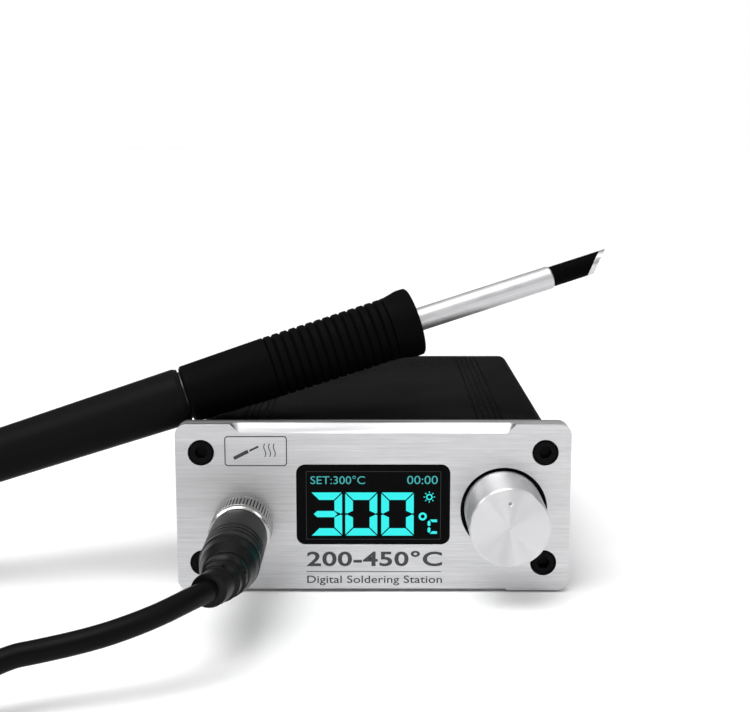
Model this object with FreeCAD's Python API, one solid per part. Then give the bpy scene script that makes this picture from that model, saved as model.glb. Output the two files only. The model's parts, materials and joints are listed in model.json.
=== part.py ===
"""Small desktop soldering station with its iron, in millimetres.

The origin is on the table, under the middle of the front panel's face.
+X runs to the right, +Y runs back through the case and +Z is up.
"""
import FreeCAD, Part
import math
import os

os.makedirs("parts", exist_ok=True)

Vector = FreeCAD.Vector

# ---- driving dimensions -------------------------------------------------------------
# front panel
panel_width = 87.4
panel_height = 38.0
panel_thickness = 5.0
panel_corner_radius = 2.5
panel_lift = 0.5            # gap between the table and the panel's lower edge
panel_bevel = 2.0           # milled bevel along the top front edge
panel_lower_bevel = 0.5     # and along the bottom one
panel_bevel_length = 59.0   # straight part of both

# case extrusion
case_side_inset = 3.5       # the panel stands out past the case at the sides
case_edge_inset = 2.3       # and above and below it
case_length = 101.0
case_wall = 1.6
case_corner_radius = 2.7
groove_first_x = 24.4
groove_pitch = 1.4
groove_count = 5
groove_width = 0.45
groove_depth = 0.35
rail_depth = 2.0            # how far the board rails stand in from the side wall
rail_thickness = 1.3
rear_panel_thickness = 2.5

# case screws, M3
screw_radius = 1.45
screw_head_radius = 2.7
screw_head_height = 3.0
screw_length = 14.0
screw_side_inset = 2.2      # from the case's side to the screw's axis
screw_edge_inset = 4.1      # from its top or bottom
screw_boss_radius = 2.5
hex_socket_width = 2.5
hex_socket_depth = 1.7
rear_head_height = 1.9

# feet
foot_radius = 5.0
foot_inset_x = 9.0
foot_inset_y = 11.0
foot_draft = 0.5

# display
window_width = 34.1
window_height = 18.3
window_radius = 2.0
window_thickness = 1.3
window_z = 20.3
opening_width = 30.6
opening_height = 15.8
glass_width = 34.5
glass_height = 23.0
glass_thickness = 1.5
bracket_wall = 2.0

# control knob and its rotary encoder
knob_side_inset = 11.2      # from the case's right side to the knob's axis
knob_z = 19.1
knob_radius = 8.7
knob_length = 15.5
knob_proud = 14.0
knob_chamfer = 0.35
knob_skirt_radius = 6.6     # hollow under the knob, over the nut
knob_skirt_depth = 4.6
knob_recess_gap = 0.9       # ring gap between the knob and its recess
knob_recess_depth = 2.5
index_dimple_radius = 0.5
index_dimple_offset = 5.3
encoder_width = 12.5
encoder_height = 13.2
encoder_depth = 6.5
bushing_radius = 3.5
bushing_length = 7.0
encoder_nut_radius = 5.6
encoder_nut_thickness = 1.9
shaft_radius = 3.0
shaft_front_cover = 2.2     # metal left between the shaft's end and the knob's face
rotor_radius = 5.0
rotor_thickness = 2.9
rotor_cavity_depth = 3.5
push_travel = 0.5
set_screw_radius = 1.5

# round panel connector for the iron
socket_side_inset = 11.4    # from the case's left side to the connector's axis
socket_z = 16.2
socket_thread_radius = 4.9
socket_bore_radius = 3.9
socket_front = 8.4          # threaded barrel standing in front of the panel
socket_back = 8.0           # barrel behind the panel
socket_flange_radius = 6.3
socket_flange_thickness = 0.8
socket_nut_radius = 6.8
socket_nut_thickness = 2.5
pin_count = 5
pin_radius = 0.5
pin_circle_radius = 2.3
ring_radius = 6.7
ring_length = 9.6
ring_lip = 1.7
plug_radius = 6.2
plug_neck_radius = 4.4
plug_collar_length = 10.2
plug_groove_pitch = 2.2
plug_groove_count = 3
plug_groove_width = 0.7
plug_groove_depth = 0.35
plug_shoulder_length = 6.6
plug_end_radius = 4.9
relief_length = 9.6
relief_tip_radius = 3.5
relief_rib_count = 3

# cord
cord_diameter = 4.3

# rear panel fittings
jack_x = 24.0
jack_z = 22.0
jack_radius = 3.95
jack_bore_radius = 2.85
jack_bore_depth = 9.5
jack_length = 13.0
jack_flange_radius = 5.5
jack_flange_thickness = 1.8
jack_pin_radius = 1.0
jack_nut_radius = 5.8
jack_nut_thickness = 2.2
switch_x = -20.0
switch_z = 22.0
switch_width = 13.2
switch_height = 8.8
switch_depth = 13.0
switch_bezel_margin = 1.1
switch_bezel_thickness = 1.5
switch_wall = 0.8
rocker_tilt = 7.0           # the rocker leans this far each way, in degrees
rocker_rise = 3.2
rocker_pin_radius = 0.8

# circuit boards
board_thickness = 1.6
main_board_z = 11.4
main_board_setback = 15.0   # from the front panel's back to the main board
main_board_back_gap = 4.0   # from the main board to the rear panel

# board components: place across and along the board as fractions of it, then sizes
capacitor_place = (0.26, 0.66)
capacitor_spacing = 12.0
capacitor_radius = 5.0
capacitor_height = 16.0
inductor_place = (-0.26, 0.56)
inductor_size = (12.5, 12.5, 7.0)
transistor_place = (-0.44, 0.34)
transistor_spacing = 10.0
transistor_size = (6.6, 10.0, 2.4)
control_chip_place = (0.26, 0.29)
control_chip_size = (9.0, 9.0, 1.4)
amplifier_place = (-0.05, 0.17)
amplifier_spacing = 8.0
amplifier_size = (4.0, 5.0, 1.6)
sounder_place = (0.67, 0.37)
sounder_radius = 6.0
sounder_height = 8.0
output_socket_place = (0.36, 0.06)
output_socket_size = (20.0, 5.0, 8.0)
input_socket_place = (-0.73, 0.1)
input_socket_size = (12.0, 6.0, 7.0)
input_socket_pitch = 3.0
inlet_wire_along = 0.78     # where the inlet's wires meet the board
wire_radius = 0.75

# iron: lengths run along its axis from the joint between the body and the grip
iron_joint_side = 3.26      # the joint stands this far left of the case's side
iron_joint_back = 9.52      # and this far behind the front panel
iron_rest_gap = 0.83        # between the grip and the case's top
iron_azimuth = 12.0
iron_pitch = 16.14
body_length = 97.6
body_front_radius = 6.6
body_rear_radius = 5.85
body_taper_length = 45.0    # from the joint to where the body turns straight
body_bore_radius = 5.1
body_edge = 0.4
body_front_edge = 1.1
grip_gap = 0.4              # dark collar that shows between the body and the grip
grip_length = 56.2
grip_bore_radius = 4.65
grip_edge = 0.6
grip_rear_radius = 6.68
grip_rib_radius = 7.2       # over the first rib
grip_last_rib_radius = 7.4
grip_front_radius = 8.15
grip_rib_start = 20.9
grip_rib_pitch = 2.09
grip_rib_count = 14
grip_rib_depth = 0.55
grip_groove_slope = 0.25
grip_groove_width = 0.95
grip_lip_length = 2.1
grip_nose_wall = 2.0
core_insert_length = 12.0
tail_cap_length = 6.0
tail_flange_length = 2.0
tail_flange_radius = 5.4
tail_relief_length = 22.0
tail_relief_radius = 3.6
tail_relief_tip_radius = 2.9
cartridge_radius = 2.75
cartridge_wall = 0.4
cartridge_front = 91.7
cartridge_rear = -48.6
cartridge_tube_rear = -22.6
band_length = 8.0
tip_radius = 2.45
tip_length = 11.25          # from the sleeve to the slanted end, on the axis
tinned_length = 1.6
tip_cut_angle = 45.5        # the slanted end, from square across, longest at the top
tip_cut_roll = 31.2         # and turned this far about the axis, away from the front

# clearances
slide_gap = 0.05            # running fit, on the radius
close_gap = 0.1             # parts that drop into a hole or a recess
loose_gap = 0.3             # parts that only have to clear each other

# ---- derived places -----------------------------------------------------------------
panel_bottom = panel_lift
panel_top = panel_lift + panel_height
middle_z = panel_lift + panel_height / 2
case_width = panel_width - 2 * case_side_inset
case_height = panel_height - 2 * case_edge_inset
case_front = panel_thickness
case_back = case_front + case_length
case_bottom = middle_z - case_height / 2
case_top = middle_z + case_height / 2
rear_face = case_back + rear_panel_thickness
inner_half_width = case_width / 2 - case_wall
knob_x = case_width / 2 - knob_side_inset
socket_x = socket_side_inset - case_width / 2
screw_spacing_x = case_width - 2 * screw_side_inset
screw_spacing_z = case_height - 2 * screw_edge_inset
screw_places = [(sx * screw_spacing_x / 2, middle_z + sz * screw_spacing_z / 2)
                for sx in (-1, 1) for sz in (-1, 1)]
screw_hole_radius = screw_radius + close_gap
counterbore_depth = screw_head_height + 0.15
knob_back = knob_length - knob_proud
encoder_front = panel_thickness
cord_radius = cord_diameter / 2


# ---- shape helpers ------------------------------------------------------------------
def box(x0, x1, y0, y1, z0, z1):
    """A box between two corners."""
    return Part.makeBox(x1 - x0, y1 - y0, z1 - z0, Vector(x0, y0, z0))


def centred_box(x, z, width, height, y0, y1):
    """A box centred on x and z that runs from y0 to y1."""
    return box(x - width / 2, x + width / 2, y0, y1, z - height / 2, z + height / 2)


def rod_y(x, z, radius, y0, y1):
    """A round rod along Y."""
    return Part.makeCylinder(radius, y1 - y0, Vector(x, y0, z), Vector(0, 1, 0))


def rod_z(x, y, radius, z0, z1):
    """A round rod along Z."""
    return Part.makeCylinder(radius, z1 - z0, Vector(x, y, z0), Vector(0, 0, 1))


def rounded_block(x, z, width, height, radius, y0, y1):
    """A box along Y whose four long edges are rounded."""
    block = centred_box(x, z, width, height, y0, y1)
    long_edges = [e for e in block.Edges
                  if abs(e.Vertexes[0].Y - e.Vertexes[1].Y) > (y1 - y0) * 0.9]
    return block.makeFillet(radius, long_edges)


def hexagon_y(x, z, across_flats, y0, y1):
    """A hexagonal prism along Y."""
    corner = across_flats / math.sqrt(3)
    points = [Vector(x + corner * math.cos(math.radians(60 * i)), y0,
                     z + corner * math.sin(math.radians(60 * i))) for i in range(7)]
    return Part.Face(Part.makePolygon(points)).extrude(Vector(0, y1 - y0, 0))


def turned(profile, base=Vector(0, 0, 0), axis=Vector(1, 0, 0), side=Vector(0, 0, 1)):
    """A solid turned from (distance along the axis, radius) points."""
    first, last = profile[0][0], profile[-1][0]
    points = [base + axis * first] if profile[0][1] > 0 else []
    points += [base + axis * s + side * r for s, r in profile]
    if profile[-1][1] > 0:
        points.append(base + axis * last)
    points.append(points[0])
    return Part.Face(Part.makePolygon(points)).revolve(base, axis, 360)


def turned_y(x, z, profile):
    """A solid turned about a line along Y, from (y, radius) points."""
    return turned(profile, Vector(x, 0, z), Vector(0, 1, 0), Vector(1, 0, 0))


def tube_along(points, radius):
    """A round tube along straight runs joined by tangent arcs, and the arcs' radii."""
    edges = []
    radii = []
    start = points[0]
    for before, corner, after in zip(points, points[1:], points[2:]):
        run_in = corner - before
        run_out = after - corner
        shorter = min(run_in.Length, run_out.Length)
        half_turn = run_in.getAngle(run_out) / 2
        cut = 0.45 * shorter
        radii.append(cut / math.tan(half_turn))
        arc_start = corner - Vector(run_in).normalize() * cut
        arc_end = corner + Vector(run_out).normalize() * cut
        toward = (arc_start + arc_end) * 0.5 - corner
        depth = radii[-1] / math.cos(half_turn) - radii[-1]
        middle = corner + Vector(toward).normalize() * depth
        edges.append(Part.LineSegment(start, arc_start).toShape())
        edges.append(Part.Arc(arc_start, middle, arc_end).toShape())
        start = arc_end
    edges.append(Part.LineSegment(start, points[-1]).toShape())
    path = Part.Wire(edges)
    heading = points[1] - points[0]
    ring = Part.Wire(Part.makeCircle(radius, points[0], heading))
    tube = path.makePipeShell([ring], True, False)
    return tube, radii, path.Length


def save(name, *shapes):
    """Writes one node: one solid, or a group of separate solids."""
    shape = shapes[0] if len(shapes) == 1 else Part.makeCompound(list(shapes))
    assert shape.isValid(), name
    shape.exportStep(f"parts/{name}.step")
    volume = sum(s.Volume for s in shape.Solids)
    print(f"{name}: {len(shape.Solids)} solid(s), {volume:.1f} mm3")


# ---- case ---------------------------------------------------------------------------
def bevel_cutter(edge_z, inward, depth):
    """The milled bevel along a front edge: a straight run with a cone at each end."""
    low = Vector(0, 0, edge_z + inward * depth)
    out = -inward
    half = panel_bevel_length / 2
    triangle = [low, Vector(0, 0, edge_z), Vector(0, depth, edge_z), low]
    face = Part.Face(Part.makePolygon([p - Vector(half, 0, 0) for p in triangle]))
    cutter = face.extrude(Vector(panel_bevel_length, 0, 0))
    for side in (-1, 1):
        cone = Part.makeCone(0, depth, depth, low + Vector(side * half, 0, 0),
                             Vector(0, 0, out))
        cutter = cutter.fuse(cone)
    return cutter


def front_panel():
    """Thick brushed plate with the openings for everything on the front."""
    plate = rounded_block(0, middle_z, panel_width, panel_height, panel_corner_radius,
                          0, panel_thickness)
    cuts = [
        rounded_block(0, window_z, window_width, window_height, window_radius,
                      -1, window_thickness + close_gap),
        rounded_block(0, window_z, opening_width, opening_height, 1.0,
                      -1, panel_thickness + 1),
        rod_y(knob_x, knob_z, knob_radius + knob_recess_gap, -1, knob_recess_depth),
        rod_y(knob_x, knob_z, bushing_radius + slide_gap, -1, panel_thickness + 1),
        rod_y(socket_x, socket_z, socket_thread_radius + close_gap, -1, panel_thickness + 1),
        bevel_cutter(panel_top, -1, panel_bevel),
        bevel_cutter(panel_bottom, 1, panel_lower_bevel),
    ]
    for x, z in screw_places:
        cuts.append(rod_y(x, z, screw_hole_radius, -1, panel_thickness + 1))
        cuts.append(rod_y(x, z, screw_head_radius + 0.2, -1, counterbore_depth))
    for cut in cuts:
        plate = plate.cut(cut)
    return plate


def front_screws():
    """Socket-head screws sunk into the front panel."""
    screws = []
    for x, z in screw_places:
        head_face = counterbore_depth - screw_head_height
        shank_end = counterbore_depth + screw_length
        screw = turned_y(x, z, [(head_face, screw_head_radius - 0.3),
                                (head_face + 0.3, screw_head_radius),
                                (counterbore_depth, screw_head_radius),
                                (counterbore_depth, screw_radius),
                                (shank_end - 0.6, screw_radius),
                                (shank_end, screw_radius - 0.6)])
        screws.append(screw.cut(hexagon_y(x, z, hex_socket_width, head_face - 1,
                                          head_face + hex_socket_depth)))
    return screws


def case_shell():
    """Extruded sleeve with screw bosses, board rails and fine grooves on top."""
    outer = rounded_block(0, middle_z, case_width, case_height, case_corner_radius,
                          case_front, case_back)
    inner = rounded_block(0, middle_z, case_width - 2 * case_wall,
                          case_height - 2 * case_wall, case_corner_radius - case_wall,
                          case_front - 1, case_back + 1)
    shell = outer.cut(inner)
    additions = []
    for x, z in screw_places:
        boss = rod_y(x, z, screw_boss_radius, case_front, case_back)
        additions.append(boss.common(outer))
    slot_low = main_board_z - close_gap
    slot_high = main_board_z + board_thickness + close_gap
    for side in (-1, 1):
        wall_x = side * (inner_half_width + case_wall / 2)
        rail_x = side * (inner_half_width - rail_depth)
        x0, x1 = min(wall_x, rail_x), max(wall_x, rail_x)
        additions.append(box(x0, x1, case_front, case_back,
                             slot_low - rail_thickness, slot_low))
        additions.append(box(x0, x1, case_front, case_back,
                             slot_high, slot_high + rail_thickness))
    shell = shell.multiFuse(additions)
    for x, z in screw_places:
        shell = shell.cut(rod_y(x, z, screw_hole_radius, case_front - 1, case_back + 1))
    for side in (-1, 1):
        for i in range(groove_count):
            x = side * (groove_first_x + i * groove_pitch)
            shell = shell.cut(box(x - groove_width / 2, x + groove_width / 2,
                                  case_front - 1, case_back + 1,
                                  case_top - groove_depth, case_top + 1))
    return shell.removeSplitter()


def rear_panel():
    """Flat plate that closes the back of the case."""
    plate = rounded_block(0, middle_z, case_width, case_height, case_corner_radius,
                          case_back, rear_face)
    for x, z in screw_places:
        plate = plate.cut(rod_y(x, z, screw_hole_radius, case_back - 1, rear_face + 1))
    plate = plate.cut(rod_y(jack_x, jack_z, jack_radius + close_gap,
                            case_back - 1, rear_face + 1))
    return plate.cut(centred_box(switch_x, switch_z, switch_width + 2 * close_gap,
                                 switch_height + 2 * close_gap,
                                 case_back - 1, rear_face + 1))


def rear_screws():
    """Round-head screws through the rear panel into the case."""
    screws = []
    head_face = rear_face + rear_head_height
    for x, z in screw_places:
        screw = turned_y(x, z, [(rear_face - screw_length, screw_radius - 0.6),
                                (rear_face - screw_length + 0.6, screw_radius),
                                (rear_face, screw_radius),
                                (rear_face, screw_head_radius),
                                (rear_face + rear_head_height * 0.4, screw_head_radius),
                                (head_face, screw_head_radius * 0.6)])
        screws.append(screw.cut(hexagon_y(x, z, hex_socket_width * 0.8,
                                          head_face - 1.2, head_face + 1)))
    return screws


def rubber_feet():
    """Four feet stuck under the case."""
    feet = []
    for side in (-1, 1):
        for y in (case_front + foot_inset_y, case_back - foot_inset_y):
            x = side * (case_width / 2 - foot_inset_x)
            feet.append(Part.makeCone(foot_radius - foot_draft, foot_radius, case_bottom,
                                      Vector(x, y, 0), Vector(0, 0, 1)))
    return feet


save("front_panel", front_panel())
save("front_screws", *front_screws())
save("case_shell", case_shell())
save("rear_panel", rear_panel())
save("rear_screws", *rear_screws())
save("rubber_feet", *rubber_feet())


# ---- display ------------------------------------------------------------------------
glass_front = panel_thickness + close_gap
glass_back = glass_front + glass_thickness
front_board_front = encoder_front + encoder_depth
front_board_back = front_board_front + board_thickness


def display_window():
    """Dark window set flush in the front panel."""
    pane = rounded_block(0, window_z, window_width - 2 * close_gap,
                         window_height - 2 * close_gap, window_radius - close_gap,
                         close_gap, window_thickness)
    return pane


def display_bracket():
    """Open frame that holds the display glass off its board."""
    outer = centred_box(0, window_z, glass_width, glass_height * 0.8,
                        glass_back, front_board_front)
    inner = centred_box(0, window_z, glass_width - 2 * bracket_wall,
                        glass_height * 0.8 - 2 * bracket_wall,
                        glass_back - 1, front_board_front + 1)
    return outer.cut(inner)


def front_board():
    """Upright board that carries the display and the encoder."""
    right = knob_x + encoder_width / 2 + 0.6
    left = -glass_width / 2 - 0.8
    low = middle_z - screw_spacing_z / 2 + screw_boss_radius + 0.8
    high = middle_z + screw_spacing_z / 2 - screw_boss_radius - 0.8
    return box(left, right, front_board_front, front_board_back, low, high)


save("display_window", display_window())
save("display_glass", centred_box(0, window_z, glass_width, glass_height,
                                  glass_front, glass_back))
save("display_bracket", display_bracket())
save("front_board", front_board())


# ---- knob and rotary encoder --------------------------------------------------------
cavity_front = encoder_front + 2.0
cavity_back = cavity_front + rotor_cavity_depth
rotor_front = cavity_front + loose_gap
shaft_back = rotor_front + rotor_thickness - push_travel
shaft_front = -knob_proud + shaft_front_cover
bushing_front = encoder_front - bushing_length
skirt_front = knob_back - knob_skirt_depth


def encoder_body():
    """Encoder housing with its threaded bushing."""
    body = centred_box(knob_x, knob_z, encoder_width, encoder_height,
                       encoder_front, encoder_front + encoder_depth)
    body = body.fuse(rod_y(knob_x, knob_z, bushing_radius, bushing_front, encoder_front + 0.5))
    body = body.cut(rod_y(knob_x, knob_z, shaft_radius + slide_gap,
                          bushing_front - 1, cavity_back))
    return body.cut(rod_y(knob_x, knob_z, rotor_radius + loose_gap, cavity_front, cavity_back))


def encoder_nut():
    """Hexagonal nut on the bushing, in the panel's recess under the knob."""
    nut = hexagon_y(knob_x, knob_z, 2 * encoder_nut_radius * math.cos(math.radians(30)),
                    knob_recess_depth - encoder_nut_thickness, knob_recess_depth)
    return nut.cut(rod_y(knob_x, knob_z, bushing_radius + slide_gap,
                         knob_recess_depth - encoder_nut_thickness - 1, knob_recess_depth + 1))


def control_knob():
    """Turned knob with a hollow skirt, a shaft bore and an index dimple."""
    front = -knob_proud
    knob = turned_y(knob_x, knob_z, [(front, knob_radius - knob_chamfer),
                                     (front + knob_chamfer, knob_radius),
                                     (knob_back - 0.3, knob_radius),
                                     (knob_back, knob_radius - 0.3)])
    knob = knob.cut(rod_y(knob_x, knob_z, knob_skirt_radius, skirt_front, knob_back + 1))
    knob = knob.cut(rod_y(knob_x, knob_z, shaft_radius + slide_gap,
                          shaft_front - slide_gap, knob_back))
    dimple = Part.makeSphere(index_dimple_radius,
                             Vector(knob_x, front - 0.3, knob_z + index_dimple_offset))
    centre_mark = Part.makeCone(0.25, 0, 0.25, Vector(knob_x, front, knob_z), Vector(0, 1, 0))
    thread_y = (front + skirt_front) / 2
    thread = Part.makeCylinder(set_screw_radius + slide_gap, knob_radius,
                               Vector(knob_x, thread_y, knob_z - shaft_radius), Vector(0, 0, -1))
    return knob.cut(dimple).cut(centre_mark).cut(thread)


def knob_set_screw():
    """Grub screw that holds the knob on its shaft."""
    thread_y = (-knob_proud + skirt_front) / 2
    return Part.makeCylinder(set_screw_radius, 4.0,
                             Vector(knob_x, thread_y, knob_z - shaft_radius - slide_gap),
                             Vector(0, 0, -1))


save("encoder_body", encoder_body())
save("encoder_nut", encoder_nut())
save("encoder_rotor",
     rod_y(knob_x, knob_z, rotor_radius, rotor_front, rotor_front + rotor_thickness).cut(
         rod_y(knob_x, knob_z, shaft_radius + slide_gap, rotor_front - 1,
               rotor_front + rotor_thickness + 1)))
save("encoder_shaft", rod_y(knob_x, knob_z, shaft_radius, shaft_front, shaft_back))
save("control_knob", control_knob())
save("knob_set_screw", knob_set_screw())


# ---- iron connector: panel socket and plug ------------------------------------------
flange_front = -socket_flange_thickness
ring_back = flange_front - loose_gap
ring_front = ring_back - ring_length
lip_back = ring_front + ring_lip
plug_body_back = ring_front - loose_gap
groove_start = plug_body_back - plug_collar_length
shoulder_start = groove_start - plug_groove_count * plug_groove_pitch - 0.8
relief_start = shoulder_start - plug_shoulder_length
relief_end = relief_start - relief_length
socket_end = panel_thickness + socket_back
pin_places = [(socket_x + pin_circle_radius * math.cos(math.radians(72 * i + 90)),
               socket_z + pin_circle_radius * math.sin(math.radians(72 * i + 90)))
              for i in range(pin_count)]


def socket_shell():
    """Threaded barrel with a thin front flange."""
    shell = turned_y(socket_x, socket_z, [(-socket_front, socket_thread_radius - 0.3),
                                          (-socket_front + 0.3, socket_thread_radius),
                                          (flange_front, socket_thread_radius),
                                          (flange_front, socket_flange_radius),
                                          (0, socket_flange_radius),
                                          (0, socket_thread_radius),
                                          (socket_end, socket_thread_radius)])
    return shell.cut(rod_y(socket_x, socket_z, socket_bore_radius,
                           -socket_front - 1, socket_end + 1))


def socket_nut():
    """Hexagonal nut behind the panel."""
    nut = hexagon_y(socket_x, socket_z, 2 * socket_nut_radius * math.cos(math.radians(30)),
                    panel_thickness, panel_thickness + socket_nut_thickness)
    return nut.cut(rod_y(socket_x, socket_z, socket_thread_radius,
                         panel_thickness - 1, panel_thickness + socket_nut_thickness + 1))


def socket_insert():
    """Insulator that holds the contact pins."""
    insert = rod_y(socket_x, socket_z, socket_bore_radius, loose_gap, socket_end - 1)
    for x, z in pin_places:
        insert = insert.cut(rod_y(x, z, pin_radius, loose_gap - 1, socket_end))
    return insert


def plug_nose():
    """Inner part of the plug: the nose in the socket, its flange and its neck."""
    flange_back = lip_back + slide_gap
    nose = turned_y(socket_x, socket_z, [(plug_body_back - 8.0, plug_neck_radius),
                                         (flange_back, plug_neck_radius),
                                         (flange_back, socket_thread_radius - 0.1),
                                         (-socket_front - slide_gap, socket_thread_radius - 0.1),
                                         (-socket_front - slide_gap, socket_bore_radius - close_gap),
                                         (0, socket_bore_radius - close_gap)])
    for x, z in pin_places:
        nose = nose.cut(rod_y(x, z, pin_radius + slide_gap, -5.6, 1))
    return nose


def coupling_ring():
    """Ring that screws the plug to the socket; it turns about the plug."""
    ring = turned_y(socket_x, socket_z, [(ring_front, ring_radius - 0.5),
                                         (ring_front + 0.5, ring_radius),
                                         (ring_back - 0.4, ring_radius),
                                         (ring_back, ring_radius - 0.4)])
    ring = ring.cut(rod_y(socket_x, socket_z, socket_thread_radius + slide_gap,
                          lip_back, ring_back + 1))
    return ring.cut(rod_y(socket_x, socket_z, plug_neck_radius + slide_gap,
                          ring_front - 1, lip_back + 1))


def plug_body():
    """Moulded body with three fine grooves and a tapering shoulder."""
    body = turned_y(socket_x, socket_z, [(relief_start, plug_end_radius),
                                         (shoulder_start, plug_radius),
                                         (plug_body_back - 0.4, plug_radius),
                                         (plug_body_back, plug_radius - 0.4)])
    for i in range(plug_groove_count):
        y = groove_start - i * plug_groove_pitch
        ring = rod_y(socket_x, socket_z, plug_radius + 1, y - plug_groove_width, y)
        core = rod_y(socket_x, socket_z, plug_radius - plug_groove_depth,
                     y - plug_groove_width, y)
        body = body.cut(ring.cut(core))
    return body.cut(rod_y(socket_x, socket_z, plug_neck_radius,
                          plug_body_back - 8.0, plug_body_back + 1))


def ribbed_relief(near_radius, tip_radius, length, ribs):
    """Tapering relief as (distance, radius) points, with a groove after each rib."""
    step = length / ribs
    points = []
    for i in range(ribs):
        radius = near_radius + (tip_radius - near_radius) * (i + 0.5) / ribs
        start = i * step
        points += [(start, radius), (start + step * 0.68, radius)]
        if i < ribs - 1:
            points += [(start + step * 0.68, radius - 0.8), (start + step, radius - 0.8)]
        else:
            points.append((start + step, radius))
    return points


relief_points = [(relief_start - s, r) for s, r in
                 ribbed_relief(plug_end_radius, relief_tip_radius, relief_length,
                               relief_rib_count)]
save("socket_shell", socket_shell())
save("socket_nut", socket_nut())
save("socket_insert", socket_insert())
save("socket_pins", *[rod_y(x, z, pin_radius, -5.0, socket_end + 2) for x, z in pin_places])
save("plug_nose", plug_nose())
save("plug_coupling_ring", coupling_ring())
save("plug_body", plug_body())
save("plug_strain_relief", turned_y(socket_x, socket_z, relief_points[::-1]))


# ---- rear fittings ------------------------------------------------------------------
def dc_jack():
    """Power inlet: flange, barrel and the bore for a barrel plug."""
    back = rear_face + jack_flange_thickness
    jack = turned_y(jack_x, jack_z, [(back - jack_length, jack_radius),
                                     (rear_face, jack_radius),
                                     (rear_face, jack_flange_radius),
                                     (back - 0.4, jack_flange_radius),
                                     (back, jack_flange_radius - 0.4)])
    return jack.cut(rod_y(jack_x, jack_z, jack_bore_radius, back - jack_bore_depth, back + 1))


def dc_jack_nut():
    """Nut that clamps the inlet from inside."""
    nut = hexagon_y(jack_x, jack_z, 2 * jack_nut_radius * math.cos(math.radians(30)),
                    case_back - jack_nut_thickness, case_back)
    return nut.cut(rod_y(jack_x, jack_z, jack_radius, case_back - jack_nut_thickness - 1,
                         case_back + 1))


rocker_pivot_y = rear_face - 0.6
rocker_half_width = switch_width / 2 - switch_wall - 0.7
rocker_half_height = switch_height / 2 - switch_wall - 0.35


def switch_housing():
    """Snap-in switch body with a bezel outside the rear panel."""
    front = rear_face - switch_depth
    back = rear_face + switch_bezel_thickness
    housing = centred_box(switch_x, switch_z, switch_width, switch_height, front, rear_face)
    housing = housing.fuse(centred_box(switch_x, switch_z,
                                       switch_width + 2 * switch_bezel_margin,
                                       switch_height + 2 * switch_bezel_margin,
                                       rear_face, back))
    housing = housing.cut(centred_box(switch_x, switch_z, switch_width - 2 * switch_wall,
                                      switch_height - 2 * switch_wall,
                                      rocker_pivot_y - 3.6, back + 1))
    pin_reach = rocker_half_height + 0.8
    return housing.cut(rod_z(switch_x, rocker_pivot_y, rocker_pin_radius + slide_gap,
                             switch_z - pin_reach, switch_z + pin_reach))


def switch_rocker():
    """Rocker on two stub pins, leaning to its on side at rest."""
    half = rocker_half_width
    outline = [(-half, -0.6), (-half * 0.5, -2.0), (half * 0.5, -2.0), (half, -0.6),
               (half, rocker_rise), (0, rocker_rise - 0.8), (-half, rocker_rise),
               (-half, -0.6)]
    low = switch_z - rocker_half_height
    points = [Vector(switch_x + x, rocker_pivot_y + y, low) for x, y in outline]
    rocker = Part.Face(Part.makePolygon(points)).extrude(Vector(0, 0, 2 * rocker_half_height))
    pin_reach = rocker_half_height + 0.7
    rocker = rocker.fuse(rod_z(switch_x, rocker_pivot_y, rocker_pin_radius,
                               switch_z - pin_reach, switch_z + pin_reach))
    rocker.rotate(Vector(switch_x, rocker_pivot_y, switch_z), Vector(0, 0, 1), -rocker_tilt)
    return rocker


terminal_front = rear_face - switch_depth - 6.0
save("dc_jack", dc_jack())
save("dc_jack_pin", rod_y(jack_x, jack_z, jack_pin_radius,
                          rear_face + jack_flange_thickness - jack_bore_depth,
                          rear_face + jack_flange_thickness - 1.0))
save("dc_jack_nut", dc_jack_nut())
save("switch_housing", switch_housing())
save("switch_rocker", switch_rocker())
save("switch_terminals", *[centred_box(switch_x + dx, switch_z, 0.8, 4.8, terminal_front,
                                       rear_face - switch_depth) for dx in (-3.5, 3.5)])


# ---- control electronics ------------------------------------------------------------
board_top = main_board_z + board_thickness
board_half_width = inner_half_width - close_gap
main_board_front = case_front + main_board_setback
board_back = case_back - main_board_back_gap
main_board_length = board_back - main_board_front


def board_point(place, offset=0):
    """A place on the main board, moved across it by an offset."""
    across, along = place
    return across * board_half_width + offset, main_board_front + along * main_board_length


def on_board(place, size, offset=0):
    """A rectangular component standing on the main board."""
    x, y = board_point(place, offset)
    width, depth, height = size
    return box(x - width / 2, x + width / 2, y - depth / 2, y + depth / 2,
               board_top, board_top + height)


def round_on_board(place, radius, height, offset=0):
    """A round component standing on the main board."""
    x, y = board_point(place, offset)
    return rod_z(x, y, radius, board_top, board_top + height)


def pair(spacing):
    """The two offsets of a pair of components."""
    return (-spacing / 2, spacing / 2)


save("main_board", box(-board_half_width, board_half_width, main_board_front, board_back,
                       main_board_z, board_top))
save("filter_capacitors", *[round_on_board(capacitor_place, capacitor_radius, capacitor_height, dx)
                            for dx in pair(capacitor_spacing)])
save("power_inductor", on_board(inductor_place, inductor_size))
save("power_transistors", *[on_board(transistor_place, transistor_size, dx)
                            for dx in pair(transistor_spacing)])
save("control_chip", on_board(control_chip_place, control_chip_size))
save("amplifier_chips", *[on_board(amplifier_place, amplifier_size, dx)
                          for dx in pair(amplifier_spacing)])
save("sounder", round_on_board(sounder_place, sounder_radius, sounder_height))
save("board_sockets", on_board(output_socket_place, output_socket_size),
     on_board(input_socket_place, input_socket_size))

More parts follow.
